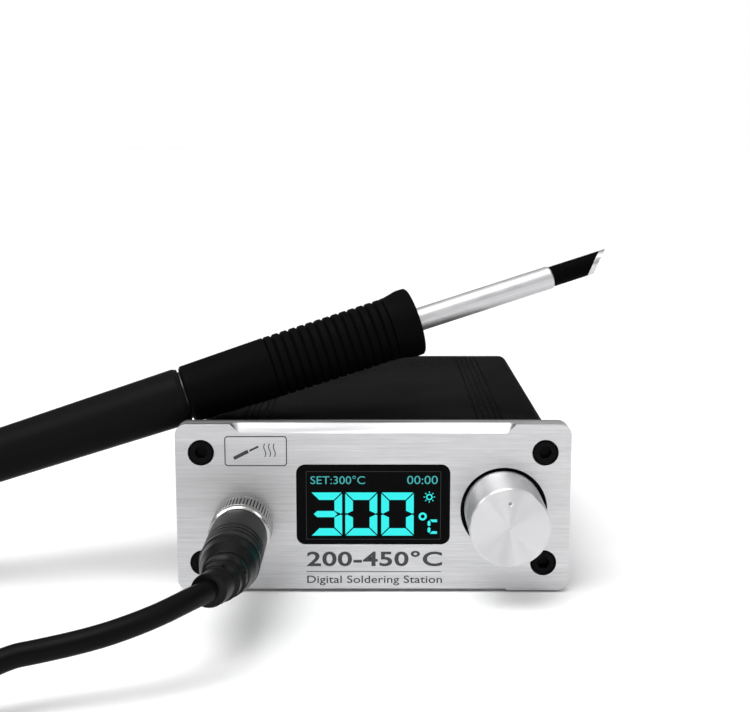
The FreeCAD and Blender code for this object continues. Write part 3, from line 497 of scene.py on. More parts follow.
ironAxis = unit(joints["tip_pull"]["axis"])
ironTurn = Vector(ironAxis).to_track_quat("X", "Z").to_euler()
knobCentre = tuple(joints["knob_turn"]["pos_m"])
socketCentre = tuple(joints["ring_turn"]["pos_m"])

look = {
    "panel": finish("brushedAluminium", (0.45, 0.45, 0.46), (0.64, 0.64, 0.65), (0.34, 0.44),
                    metallic=1.0, lines={"squeeze": (0.02, 1, 1), "scale": 9000,
                                         "depth": 0.0000035}, anisotropy=0.5),
    "case": finish("blackAnodised", (0.022, 0.022, 0.0225), (0.034, 0.034, 0.0345), (0.42, 0.52),
                   metallic=1.0, edgeTint=0.05, dust=0.05,
                   grain={"scale": 7000, "depth": 0.000004}),
    "blackSteel": finish("blackSteel", (0.0015, 0.0015, 0.0017), (0.003, 0.003, 0.0032),
                         (0.30, 0.42), grain={"scale": 5000, "depth": 0.000004},
                         specular=0.05),
    "rubber": finish("footRubber", (0.012, 0.012, 0.012), (0.022, 0.022, 0.022), (0.75, 0.9),
                     grain={"scale": 4000, "depth": 0.00002}, dust=0.2),
    "window": finish("darkWindow", (0.0012, 0.0012, 0.0014), (0.0018, 0.0018, 0.002),
                     (0.05, 0.09), grain={"scale": 300, "depth": 0.0}, specular=0.03),
    "plastic": finish("blackPlastic", (0.012, 0.012, 0.013), (0.020, 0.020, 0.021),
                      (0.36, 0.48), grain={"scale": 3500, "depth": 0.00001}),
    "plug": finish("plugPlastic", (0.0022, 0.0022, 0.0024), (0.0038, 0.0038, 0.004), (0.28, 0.36),
                   grain={"scale": 4200, "depth": 0.000006}, specular=0.13),
    "board": finish("greenBoard", (0.004, 0.055, 0.022), (0.006, 0.085, 0.034), (0.3, 0.45),
                    lines={"squeeze": (1, 0.12, 1), "scale": 700, "depth": 0.00002}),
    "steel": finish("plainSteel", (0.22, 0.22, 0.23), (0.34, 0.34, 0.35), (0.3, 0.42),
                    metallic=1.0, grain={"scale": 3000, "depth": 0.000004}),
    "nickel": finish("nickelPlate", (0.38, 0.38, 0.37), (0.48, 0.48, 0.465), (0.16, 0.26),
                     metallic=1.0, grain={"scale": 5200, "depth": 0.000002}),
    "brass": finish("contactBrass", (0.60, 0.40, 0.14), (0.80, 0.58, 0.25), (0.22, 0.34),
                    metallic=1.0, grain={"scale": 4800, "depth": 0.000003}),
    "capacitor": finish("capacitorSleeve", (0.012, 0.03, 0.16), (0.02, 0.045, 0.22),
                        (0.3, 0.4), lines={"squeeze": (1, 1, 0.05), "scale": 2200,
                                           "depth": 0.000006}),
    "white": finish("whiteNylon", (0.70, 0.69, 0.64), (0.82, 0.81, 0.77), (0.4, 0.5),
                    grain={"scale": 3000, "depth": 0.000008}),
    "redWire": finish("redWire", (0.35, 0.012, 0.010), (0.5, 0.02, 0.015), (0.35, 0.45),
                      grain={"scale": 2600, "depth": 0.000008}),
    "handle": finish("satinGrey", (0.0045, 0.0045, 0.005), (0.007, 0.007, 0.0075), (0.34, 0.42),
                     grain={"scale": 5200, "depth": 0.000008}, specular=0.018),
    "grip": finish("softGrip", (0.0010, 0.0010, 0.0012), (0.002, 0.002, 0.0022), (0.55, 0.72),
                   grain={"scale": 3800, "depth": 0.000012}, specular=0.03),
    "tube": finish("drawnTube", (0.46, 0.46, 0.47), (0.66, 0.66, 0.67), (0.40, 0.52),
                   metallic=1.0, turn=tuple(ironTurn),
                   lines={"squeeze": (0.02, 1, 1), "scale": 2400, "depth": 0.000010},
                   marks=240.0),
    "ceramic": finish("whiteCeramic", (0.74, 0.73, 0.70), (0.84, 0.83, 0.80), (0.35, 0.5),
                      grain={"scale": 2800, "depth": 0.00001}),
    "blackTip": finish("blackenedTip", (0.001, 0.001, 0.001), (0.0025, 0.0023, 0.0023),
                       (0.48, 0.66), grain={"scale": 4500, "depth": 0.00001}, specular=0.012),
    "tin": finish("tinnedEdge", (0.48, 0.48, 0.49), (0.62, 0.62, 0.63), (0.22, 0.34),
                  metallic=1.0, grain={"scale": 2600, "depth": 0.00001}),
    "lead": finish("leadJacket", (0.0015, 0.0015, 0.0018), (0.003, 0.003, 0.0033),
                   (0.36, 0.48), grain={"scale": 260, "depth": 0.00001}, along=True,
                   marks=1.5, specular=0.06),
    "ink": finish("printedInk", (0.020, 0.020, 0.022), (0.030, 0.030, 0.032), (0.4, 0.5),
                  grain={"scale": 9000, "depth": 0.0}),
    "whiteInk": finish("whiteInk", (0.66, 0.66, 0.66), (0.75, 0.75, 0.75), (0.4, 0.5),
                       grain={"scale": 9000, "depth": 0.0}),
    "brightSegments": lit("brightSegments", (0.0, 0.90, 0.87), 0.92),
    "dimSegments": lit("dimSegments", (0.04, 0.60, 0.60), 0.62),
    "ghost": lit("activeArea", (0.004, 0.012, 0.014), 0.5),
}


# Spun finish of a turned face: the shade and the bump follow the distance from the axis,
# d = sqrt(x^2 + z^2), through a noise in one dimension. Highlights stretch across the rings:
# away from the axis on the face, along it on the side.
def spunFinish():
    spun = {"low": (0.57, 0.57, 0.58, 1), "high": (0.68, 0.68, 0.69, 1), "roughness": 0.40,
            "drift": 0.04, "marks": 60.0, "stretch": 0.9, "rings": 9000.0,
            "depth": 0.0000040, "lean": 0.005}
    material, tree, shader = newMaterial("turnedAluminium", {
        "Metallic": 1.0, "Anisotropic": spun["stretch"]})
    where = addNode(tree, "TexCoord")
    centred = addNode(tree, "Mapping", {"Location": knobCentre}, vector_type="TEXTURE")
    outward = addNode(tree, "VectorMath", {1: (0, spun["lean"], 0)}, operation="ADD")
    flat = addNode(tree, "VectorMath", {1: (1, 0, 1)}, operation="MULTIPLY")
    distance = addNode(tree, "VectorMath", operation="LENGTH")
    split = addNode(tree, "SeparateXYZ")
    both = addNode(tree, "Math", operation="ADD")
    rings = addNode(tree, "TexNoise", {"Scale": spun["rings"], "Detail": 2.0},
                    noise_dimensions="1D")
    bump = addNode(tree, "Bump", {"Distance": spun["depth"]})
    mix = addNode(tree, "Mix", {6: spun["low"], 7: spun["high"]}, data_type="RGBA")
    drift = addNode(tree, "Group", node_tree=groups["handling"])
    drift.inputs["Scale"].default_value = spun["marks"]
    drift.inputs["Low"].default_value = spun["roughness"]
    drift.inputs["High"].default_value = spun["roughness"] + spun["drift"]
    wire(tree, (where, "Object", centred, "Vector"), (centred, 0, flat, 0),
         (flat, 0, distance, 0), (flat, 0, outward, 0), (outward, 0, shader, "Tangent"),
         (centred, 0, split, 0), (distance, "Value", both, 0), (split, "Y", both, 1),
         (both, 0, rings, "W"), (rings, "Fac", bump, "Height"), (rings, "Fac", mix, 0),
         (mix, 2, shader, "Base Color"), (bump, "Normal", shader, "Normal"),
         (centred, 0, drift, "Vector"), (drift, "Value", shader, "Roughness"))
    return material


look["spun"] = spunFinish()
print("materials made:", len(look))

slotLook = {
    "panel_aluminium": "panel", "case_black": "case", "black_steel": "blackSteel",
    "rubber_black": "rubber", "display_black": "window", "plastic_black": "plastic",
    "plug_plastic": "plug", "board_green": "board", "steel_plain": "steel",
    "knob_aluminium": "spun", "nickel": "nickel", "contact_brass": "brass",
    "capacitor_blue": "capacitor", "connector_white": "white", "wire_red": "redWire",
    "handle_grey": "handle", "tip_steel": "tube", "ceramic_white": "ceramic",
    "tip_black": "blackTip", "tinned": "tin", "cord_black": "lead",
}


# Every CAD node that stays shown takes the look of its slot
def dressNodes():
    slots = {row["node"]: row["material_slot"] for row in frame["record"]["subparts"]}
    for name, node in frame["nodes"].items():
        node.data.materials.clear()
        node.data.materials.append(look[slotLook[slots[name]]])


# The iron's lead, in metres: its two free runs and the coil between them
lead = {
    "diameter": 0.0043,
    "plugSide": [
        (-0.03100, -0.0448, 0.01620), (-0.03320, -0.0494, 0.01652), (-0.03877, -0.0554, 0.01528),
        (-0.04581, -0.0593, 0.01367), (-0.05164, -0.0612, 0.01256), (-0.05839, -0.0626, 0.01145),
        (-0.06490, -0.0645, 0.01081),
        (-0.0833, -0.0725, 0.0022), (-0.0919, -0.0775, 0.0022),
    ],
    "ironSide": [
        (-0.1561, -0.0775, 0.0065), (-0.1647, -0.0725, 0.0065), (-0.1732, -0.0644, 0.0049),
        (-0.1798, -0.0546, 0.0032), (-0.1839, -0.0434, 0.0024), (-0.1844, -0.0316, 0.0023),
        (-0.1794, -0.0206, 0.0027), (-0.1676, -0.0119, 0.0055), (-0.1577, -0.0098, 0.0084),
    ],
    "coilCentre": (-0.124, -0.062),
    "coilRadii": (0.0295, 0.0252, 0.0209),
    "coilLayers": (0.0022, 0.0065),
    "inward": ((0.88, 1.02), (1.88, 2.02)),
    "climb": (2.62, 2.86),
    "outward": ((3.48, 3.64), (4.48, 4.64)),
    "entryAngle": -60.0,
    "sweep": 1860.0,
    "pointsOnCoil": 83,
    "smoothness": 8,
    "around": 20,
}


# Control points on a wound coil. Their distance from the middle, r / cos(step / 2), lets the
# line touch the turn's own radius r; r steps in on the lower layer and out on the upper one,
# each step over its own share of the turns.
def coilPoints():
    step = lead["sweep"] / lead["pointsOnCoil"]
    count = np.arange(lead["pointsOnCoil"] + 2)
    angle = np.radians(lead["entryAngle"] + step / 2 - count * step)
    turn = (count - 0.5) * step / 360
    outer, middle, inner = lead["coilRadii"]
    low, high = lead["coilLayers"]
    firstIn, secondIn = (ease(*turns, turn) for turns in lead["inward"])
    firstOut, secondOut = (ease(*turns, turn) for turns in lead["outward"])
    r = outer + (middle - outer) * firstIn + (inner - middle) * secondIn
    r += (middle - inner) * firstOut + (outer - middle) * secondOut
    z = low + (high - low) * ease(*lead["climb"], turn)
    r = r / math.cos(math.radians(step / 2))
    x = lead["coilCentre"][0] + r * np.cos(angle)
    y = lead["coilCentre"][1] + r * np.sin(angle)
    return np.stack([x, y, z], -1)


# The lead's line: one NURBS spline with the route's points as its control points
def leadLine():
    route = np.concatenate([lead["plugSide"], coilPoints(), lead["ironSide"]])
    curve = bpy.data.curves.new("leadLine", "CURVE")
    curve.dimensions = "3D"
    spline = curve.splines.new("NURBS")
    spline.points.add(len(route) - 1)
    spline.points.foreach_set("co", np.hstack([route, np.ones((len(route), 1))]).ravel())
    spline.order_u = 3
    spline.use_endpoint_u = True
    spline.resolution_u = lead["smoothness"]
    holder = bpy.data.objects.new("leadLine", curve)
    mesh = bpy.data.meshes.new_from_object(holder)
    points = pointsOf(mesh)
    bpy.data.objects.remove(holder)
    bpy.data.curves.remove(curve)
    bpy.data.meshes.remove(mesh)
    return points


# A round section carried along the line: centre + radius (side cos a + over sin a)
def makeLead():
    line = leadLine()
    keep = np.append(True, np.linalg.norm(np.diff(line, axis=0), axis=1) > 1e-6)
    line = line[keep]
    heading = unit(np.gradient(line, axis=0))
    side = unit(np.cross(heading, (0, 0, 1)))
    over = np.cross(side, heading)
    a = np.arange(lead["around"]) / lead["around"] * 2 * math.pi
    ring = side[:, None] * np.cos(a)[:, None] + over[:, None] * np.sin(a)[:, None]
    grid = line[:, None] + ring * lead["diameter"] / 2
    run = runAlong(line)
    piece = surface("iron_lead", grid, run / 0.01, poles=(line[0], line[-1]))
    piece.data.materials.append(look["lead"])
    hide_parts("cord_plug_side", "cord_coil", "cord_iron_side")
    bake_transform(piece)
    print("lead made, length", round(float(run[-1]), 3))
    return piece, line, float(run[-1])


addCamera()
addLights()
print("camera and lights set")
leadPiece, leadPath, leadLength = makeLead()

# Plug and coupling ring, in millimetres; lengths run forward from the panel's face
plug = {
    "ringRadius": 6.7, "ringBore": 4.95, "ringBack": 1.1, "ringFront": 10.7, "rimLength": 1.6,
    "stepLength": 0.9, "stepDrop": 0.55, "rimGroove": 0.42, "flutes": 56, "fluteDepth": 0.50,
    "bodyRadius": 6.2, "bodyBack": 11.0, "grooveStart": 21.2, "groovePitch": 2.2,
    "grooves": 3, "grooveWidth": 0.7, "grooveDepth": 0.35, "grooveSlope": 0.12,
    "shoulder": 28.6, "shoulderDrop": 0.22, "waistDrop": 0.52,
    "reliefStart": 35.2, "reliefEnd": 44.8, "reliefRadius": 4.75, "tipRadius": 3.2,
    "reliefRibs": 3, "slotDepth": 1.5, "webWidth": 0.22, "reliefSway": -2.2,
}
forward = np.array([0.0, -1.0, 0.0])
socketBase = np.array([socketCentre[0], 0.0, socketCentre[2]])


# Ring with straight flutes between its rims: the radius dips by depth times what
# 1.25 - 2.4 |sin(n a / 2)| leaves between 0 and 1
def makeCouplingRing():
    back, front = plug["ringBack"] * mm, plug["ringFront"] * mm
    r, inner = plug["ringRadius"] * mm, plug["ringBore"] * mm
    drop, groove = plug["stepDrop"] * mm, plug["rimGroove"] * mm
    rim = front - plug["rimLength"] * mm
    step = back + plug["stepLength"] * mm
    outline = [(back, inner), (back, r - drop), (step, r - drop),
               (step, r - 0.05 * mm), (step + 0.5 * mm, r)]
    outline += [(s, r) for s in np.linspace(step + 0.8 * mm, rim - 0.55 * mm, 6)]
    outline += [(rim - 0.3 * mm, r), (rim - 0.3 * mm, r - groove), (rim, r - groove),
                (rim, r), (front - 0.35 * mm, r), (front, r - 0.5 * mm), (front, inner)]

    def flutes(s, a, radius):
        rising = ease(step + 0.15 * mm, step + 0.7 * mm, s)
        falling = ease(rim - 0.85 * mm, rim - 0.4 * mm, s)
        there = rising * (1 - falling) * (radius > r - 0.1 * mm)
        dip = np.clip(1.25 - 2.4 * np.abs(np.sin(plug["flutes"] / 2 * a)), 0, 1)
        return radius - plug["fluteDepth"] * mm * dip * there

    piece = turned("coupling_ring_knurled", outline, socketBase, forward, cut=0.12 * mm,
                   around=plug["flutes"] * 10, shape=flutes, closed=True, sharp=50)
    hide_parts("plug_coupling_ring")
    return settle(piece, look["nickel"], "coupling_ring")


def makePlugBody():
    r = plug["bodyRadius"] * mm
    back, shoulder = plug["bodyBack"] * mm, plug["shoulder"] * mm
    end, endRadius = plug["reliefStart"] * mm, plug["reliefRadius"] * mm
    depth, slope = plug["grooveDepth"] * mm, plug["grooveSlope"] * mm
    outline = [(back, 0), (back, r - 0.4 * mm), (back + 0.4 * mm, r), (back + 1.5 * mm, r)]
    for i in range(plug["grooves"]):
        start = (plug["grooveStart"] + i * plug["groovePitch"]) * mm
        stop = start + plug["grooveWidth"] * mm
        outline += [(start, r), (start + slope, r - depth), (stop - slope, r - depth), (stop, r)]
    outline += [(shoulder, r), (shoulder + 0.35 * mm, r - plug["shoulderDrop"] * mm),
                (shoulder + (end - shoulder) * 0.5, r - plug["waistDrop"] * mm),
                (end - 0.5 * mm, endRadius + 0.12 * mm), (end, endRadius - 0.1 * mm), (end, 0)]
    piece = turned("plug_body_grooved", outline, socketBase, forward, cut=0.16 * mm)
    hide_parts("plug_body")
    return settle(piece, look["plug"], "station")


# A tapering relief: rings with a gap after each, bridged by two webs that turn by a quarter
# from one gap to the next. Shares of a step: the ring ends at 0.58, its gap runs from 0.62
# to 0.96, and webWidth is the sine of half a web's angle.
def slotted(start, length, ribs, near, tip, gapDepth, webWidth):
    step = length / ribs
    profile = [(start, 0)]
    for i in range(ribs):
        r = near + (tip - near) * (i + 0.5) / ribs
        first = start + i * step
        profile += [(first, r), (first + step * 0.58, r)]
        if i < ribs - 1:
            inGap = r - 0.02 * mm
            profile += [(first + step * 0.62, inGap), (first + step * 0.96, inGap)]
        else:
            profile += [(first + step, r)]
    profile.append((start + length, 0))

    def webs(s, a, radius):
        index = np.floor((s - start) / step)
        place = (s - start) / step - index
        gap = (place > 0.60) & (place < 0.98) & (index < ribs - 1)
        away = np.abs(np.sin(a + index * math.pi / 2))
        return radius - gap * gapDepth * ease(webWidth, webWidth + 0.2, away)

    return profile, webs


# The relief sways to one side as the lead does, by sway t^2 from its start to its end
def makePlugRelief():
    start, end = plug["reliefStart"] * mm, plug["reliefEnd"] * mm
    profile, webs = slotted(start, end - start, plug["reliefRibs"], plug["reliefRadius"] * mm,
                            plug["tipRadius"] * mm, plug["slotDepth"] * mm, plug["webWidth"])
    piece = turned("plug_relief_slotted", profile, socketBase, forward, cut=0.22 * mm,
                   shape=webs)
    points = pointsOf(piece.data)
    share = (-points[:, 1] - start) / (end - start)
    points[:, 0] += plug["reliefSway"] * mm * share ** 2
    putPoints(piece.data, points)
    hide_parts("plug_strain_relief")
    return settle(piece, look["plug"], "station")


ringPiece = makeCouplingRing()
plugPiece = makePlugBody()
reliefPiece = makePlugRelief()
print("plug made")

# Knob, in millimetres
knob = {"radius": 8.7, "front": -14.0, "back": 1.5, "chamfer": 0.35, "skirt": 6.6,
        "skirtDepth": 4.6, "bore": 3.05, "dimpleUp": 5.3, "dimpleRadius": 0.5,
        "dimpleDepth": 0.22, "centreDepth": 0.12, "centreRadii": (0.1, 0.32), "faceRings": 72}


# Knob: a turned cup, closed to the shaft. Its face is rings round the axis, pushed in by
# depth sqrt(1 - (d / radius)^2) at the dimple.
def makeKnob():
    r, front, back = knob["radius"] * mm, knob["front"] * mm, knob["back"] * mm
    chamfer, skirt = knob["chamfer"] * mm, knob["skirt"] * mm
    inside = back - knob["skirtDepth"] * mm
    face = [(front, x) for x in np.linspace(0.0, r - chamfer - 0.3 * mm, knob["faceRings"])]
    edge = [(front, r - chamfer), (front + chamfer, r), (back - 0.3 * mm, r),
            (back, r - 0.3 * mm), (back, skirt), (inside, skirt), (inside, knob["bore"] * mm)]
    rows = np.concatenate([face, softened([face[-1]] + edge + [(inside, 0)], 0.18 * mm)[1:]])
    base = np.array([knobCentre[0], 0, knobCentre[2]])
    piece = turned("control_knob_turned", rows, base, (0, 1, 0), around=256, soften=False)
    dimple = (base[0], base[2] + knob["dimpleUp"] * mm)
    dimpleRadius = knob["dimpleRadius"] * mm
    points = pointsOf(piece.data)
    toDimple = np.hypot(points[:, 0] - dimple[0], points[:, 2] - dimple[1])
    inDimple = np.sqrt(np.clip(1 - (toDimple / dimpleRadius) ** 2, 0, 1))
    toAxis = np.hypot(points[:, 0] - base[0], points[:, 2] - base[2])
    near, far = (radius * mm for radius in knob["centreRadii"])
    centreMark = knob["centreDepth"] * mm * (1 - ease(near, far, toAxis))
    onFace = points[:, 1] < front + 1e-6
    points[:, 1] += onFace * (knob["dimpleDepth"] * mm * inDimple + centreMark)
    putPoints(piece.data, points)

    # Faces inside the dimple take the darker plain steel: painted shade in the hollow of the dimple
    def dimplePaintedShade(middles):
        away = np.hypot(middles[:, 0] - dimple[0], middles[:, 2] - dimple[1])
        return (away < 0.7 * dimpleRadius) & (middles[:, 1] < front + 0.5 * mm)

    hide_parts("control_knob")
    settle(piece, look["spun"], "knob")
    secondMaterial(piece, look["steel"], dimplePaintedShade)
    return piece


makeKnob()
print("knob made")

# Iron, in millimetres along its axis from the grip's rear end
iron = {
    "joint": (-0.04346, 0.01452, 0.04222),
    "body": {"length": 97.6, "front": 6.6, "rear": 5.85, "taper": 45.0, "edge": 0.4,
             "frontEdge": 1.1, "bore": 5.1},
    "grip": {"start": 0.4, "end": 56.6, "rear": 6.68, "rib": 7.2, "lastRib": 7.4, "lip": 8.15,
             "ribStart": 20.9, "ribPitch": 2.09, "ribs": 14, "ribDepth": 0.52, "bore": 4.65,
             "mouth": 3.2, "mouthDepth": 2.0, "rowSpacing": 0.11},
    "tube": {"rear": -22.6, "front": 91.7, "radius": 2.75, "wall": 0.4},
    "tail": {"start": 99.6, "length": 22.0, "near": 3.6, "tip": 2.9, "ribs": 6,
             "slotDepth": 0.6, "webWidth": 0.25},
}
ironBase = np.array(iron["joint"])


def makeHandle():
    b = iron["body"]
    start, r0, r1 = -b["length"] * mm, b["rear"] * mm, b["front"] * mm
    edge, bore = b["edge"] * mm, b["bore"] * mm
    outline = [(start, bore), (start, r0 - edge), (start + edge, r0), (-b["taper"] * mm, r0),
               (-b["frontEdge"] * mm, r1), (0, r1 - edge), (0, bore)]
    piece = turned("handle_body_satin", outline, ironBase, ironAxis, cut=0.22 * mm,
                   around=128, closed=True)
    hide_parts("handle_body")
    return settle(piece, look["handle"], "iron")


# Grip: the radius follows a smooth line through a few sizes, and the ribs stand on it as
# depth min(1, 1.35 sin(pi p)^0.8), where p runs from 0 to 1 over each rib
def makeGrip():
    g = iron["grip"]
    start, end = g["start"], g["end"]
    ribEnd = g["ribStart"] + g["ribPitch"] * g["ribs"]
    s = np.arange(start + 0.5, end - 0.55, g["rowSpacing"])
    knots = np.array([start, start + 0.6, g["ribStart"], ribEnd, ribEnd + 1.2, end - 2.3, end])
    sizes = np.array([g["rear"] - 0.2, g["rear"], g["rib"], g["lastRib"], g["lastRib"] + 0.1,
                      g["lip"], g["lip"]])
    base = np.interp(s, knots, sizes)
    kernel = np.hanning(15)
    kernel /= kernel.sum()
    reach = len(kernel) // 2
    base = np.convolve(np.pad(base, reach, mode="edge"), kernel, "valid")
    p = (s - g["ribStart"]) / g["ribPitch"] % 1.0
    inRibs = (s > g["ribStart"]) & (s < ribEnd)
    rib = np.minimum(1, 1.35 * np.sin(math.pi * p) ** 0.8)
    r = base - inRibs * g["ribDepth"] * (1 - rib)
    outer = np.stack([s, r], -1)
    bore, nose, mouth = g["bore"], end - g["mouthDepth"], g["mouth"]
    close = [(end - 0.35, g["lip"] - 0.05), (end - 0.08, g["lip"] - 0.3),
             (end, g["lip"] - 0.6), (end, 5.6), (end - 0.5, 4.9), (end - 0.6, mouth),
             (nose, mouth), (nose, bore), (start, bore), (start, g["rear"] - 0.6),
             (start + 0.2, g["rear"] - 0.35)]
    rows = np.concatenate([outer, close]) * mm
    piece = turned("handle_grip_ribbed", rows, ironBase, ironAxis, around=96, soften=False,
                   closed=True, sharp=60)
    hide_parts("handle_grip")
    return settle(piece, look["grip"], "iron")


def makeTube():
    t = iron["tube"]
    rear, front, r = t["rear"] * mm, t["front"] * mm, t["radius"] * mm
    inner = (t["radius"] - t["wall"]) * mm
    outline = [(rear, inner), (rear, r), (front - 0.35 * mm, r), (front, r - 0.28 * mm),
               (front, inner)]
    piece = turned("cartridge_tube_drawn", outline, ironBase, ironAxis, cut=0.15 * mm,
                   around=96, closed=True)
    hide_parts("cartridge_tube")
    return settle(piece, look["tube"], "tip_cartridge")


def makeTailRelief():
    t = iron["tail"]
    profile, webs = slotted(t["start"] * mm, t["length"] * mm, t["ribs"], t["near"] * mm,
                            t["tip"] * mm, t["slotDepth"] * mm, t["webWidth"])
    piece = turned("handle_relief_slotted", profile, ironBase, -ironAxis, cut=0.2 * mm,
                   shape=webs)
    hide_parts("handle_strain_relief")
    return settle(piece, look["grip"], "iron")


makeHandle()
makeGrip()
makeTube()
makeTailRelief()
print("iron made")

# Pieces whose CAD shape is right: their finish, slot and the width of the broken edge in mm
easedNodes = {
    "front_panel": ("panel", "panel_aluminium", 0.26),
    "front_screws": ("blackSteel", "black_steel", 0.16),
    "case_shell": ("case", "case_black", 0.10),
    "rear_panel": ("case", "case_black", 0.22),
    "rear_screws": ("blackSteel", "black_steel", 0.10),
    "rubber_feet": ("rubber", "rubber_black", 0.30),
    "display_window": ("window", "display_black", 0.12),
    "encoder_nut": ("nickel", "nickel", 0.15),
    "socket_shell": ("nickel", "nickel", 0.10),
    "dc_jack": ("plastic", "plastic_black", 0.18),
    "dc_jack_pin": ("nickel", "nickel", 0.12),
    "switch_housing": ("plastic", "plastic_black", 0.18),
    "switch_rocker": ("plastic", "plastic_black", 0.18),
    "handle_tail_cap": ("plastic", "plastic_black", 0.12),
    "grip_core": ("plastic", "plastic_black", 0.08),
    "heating_tip": ("blackTip", "tip_black", 0.08),
    "tinned_edge": ("tin", "tinned", 0.08),
}


recess = {"radius": 9.75, "front": 0.15, "back": 2.6}


# The recess round the knob takes a dark finish as painted shade: its faces lie near the knob's axis, behind the
# face
def recessPaintedShade(middles):
    away = np.hypot(middles[:, 0] - knobCentre[0], middles[:, 2] - knobCentre[2])
    depth = middles[:, 1]
    behind = (depth > recess["front"] * mm) & (depth < recess["back"] * mm)
    return (away < recess["radius"] * mm) & behind


def makeEased():
    for node, (material, slot, width) in easedNodes.items():
        piece = eased(node, width * mm, node + "_finished")
        settle(piece, look[material], bodyOf[node])
        if node == "front_panel":
            # The recess faces take the black steel finish: painted shade round the knob, not the panel's own
            # colour
            secondMaterial(piece, look["blackSteel"], recessPaintedShade)


makeEased()
print("edges broken on", len(easedNodes), "pieces")

# Display, in millimetres on the panel: digits, small marks and the edge of its lit area
display = {
    "face": 0.07, "thickness": 0.03,
    "text": "300", "digits": [(-13.8, -6.9), (-6.2, 0.9), (1.8, 9.0)],
    "digitLow": 13.2, "digitHigh": 23.1, "bar": 1.7, "gap": 0.26,
    "setting": ("SET:300°C", -13.9, -1.8, 25.0, 26.9),
    "clock": ("00:00", 7.5, 14.3, 25.0, 26.9),
    "degree": {"middle": (11.0, 17.6), "outer": 0.92, "inner": 0.45},
    "letter": [
        [(12.6, 16.9), (14.2, 16.9), (14.2, 16.3), (13.1, 16.3)],
        [(12.1, 16.4), (12.5, 16.7), (12.75, 16.3), (12.75, 15.6), (12.4, 15.35), (12.1, 15.6)],
        [(12.1, 14.1), (12.5, 13.8), (12.75, 14.2), (12.75, 14.9), (12.4, 15.15), (12.1, 14.9)],
        [(12.6, 13.6), (14.2, 13.6), (14.2, 14.2), (13.1, 14.2)]],
    "sun": {"middle": (12.45, 22.05), "outer": 0.72, "inner": 0.44, "rays": 8,
            "rayFrom": 0.86, "rayTo": 1.32, "rayWidth": 0.20},
    "area": (-14.9, 15.0, 12.3, 27.9), "areaLine": 0.1, "areaCorner": 0.2, "areaBehind": 0.015,
}
segmentsOf = {"0": "abcdef", "3": "abgcd"}


# Thin prisms from flat outlines in the X-Z plane, all in one mesh
def prisms(name, outlines, face, thickness):
    points, faces = [], []
    for outline in outlines:
        n, first = len(outline), len(points)
        ring = [(x * mm, z * mm) for x, z in outline]
        points += [(x, face * mm, z) for x, z in ring]
        points += [(x, (face - thickness) * mm, z) for x, z in ring]
        faces += [[first + i for i in range(n)], [first + n + i for i in reversed(range(n))]]
        faces += [[first + i, first + (i + 1) % n, first + n + (i + 1) % n, first + n + i]
                  for i in range(n)]
    mesh = bpy.data.meshes.new(name)
    mesh.from_pydata(points, [], faces)
    return finished(name, mesh, sharp=30)


# One bar: six corners, pointed at both ends
def bar(x0, z0, x1, z1, width):
    d = unit(np.array([x1 - x0, z1 - z0]))
    n = np.array([-d[1], d[0]]) * width / 2
    a, b = np.array([x0, z0]), np.array([x1, z1])
    tip = d * width / 2
    return [tuple(p) for p in (a, a + tip + n, b - tip + n, b, b - tip - n, a + tip - n)]


# The bars of one digit in its box: mitred at the corners, pointed at the middle
def digitBars(char, x0, x1, low, high, width, gap):
    middle, g, w = (low + high) / 2, gap / 2, width
    m = w * 0.45
    shapes = {
        "a": [(x0 + g, high), (x1 - g, high), (x1 - w - g, high - w), (x0 + w + g, high - w)],
        "d": [(x0 + g, low), (x1 - g, low), (x1 - w - g, low + w), (x0 + w + g, low + w)],
        "f": [(x0, high - 2 * g), (x0, middle + 2 * g), (x0 + m * 0.5, middle + g),
              (x0 + w, middle + m), (x0 + w, high - w - 2 * g)],
        "b": [(x1, high - 2 * g), (x1, middle + 2 * g), (x1 - m * 0.5, middle + g),
              (x1 - w, middle + m), (x1 - w, high - w - 2 * g)],
        "e": [(x0, low + 2 * g), (x0, middle - 2 * g), (x0 + m * 0.5, middle - g),
              (x0 + w, middle - m), (x0 + w, low + w + 2 * g)],
        "c": [(x1, low + 2 * g), (x1, middle - 2 * g), (x1 - m * 0.5, middle - g),
              (x1 - w, middle - m), (x1 - w, low + w + 2 * g)],
        "g": [(x0 + w * 0.35, middle), (x0 + w * 0.8, middle + w * 0.42),
              (x1 - w - g, middle + w * 0.42), (x1 - w * 0.62, middle),
              (x1 - w - g, middle - w * 0.42), (x0 + w * 0.8, middle - w * 0.42)],
    }
    return [shapes[key] for key in segmentsOf[char]]


# A closed ring of quads between two outlines with the same number of points
def outlineRing(outer, inner):
    n = len(outer)
    return [[outer[i], outer[(i + 1) % n], inner[(i + 1) % n], inner[i]] for i in range(n)]


def roundedOutline(x0, x1, z0, z1, r, steps=8):
    a = np.linspace(0, math.pi / 2, steps)
    corners = [(x1 - r, z1 - r, 0), (x0 + r, z1 - r, 1), (x0 + r, z0 + r, 2), (x1 - r, z0 + r, 3)]
    return [(cx + r * math.cos(t + k * math.pi / 2), cz + r * math.sin(t + k * math.pi / 2))
            for cx, cz, k in corners for t in a]


def circleOutline(x, z, r, steps=24):
    a = np.arange(steps) / steps * 2 * math.pi
    return [(x + r * math.cos(t), z + r * math.sin(t)) for t in a]


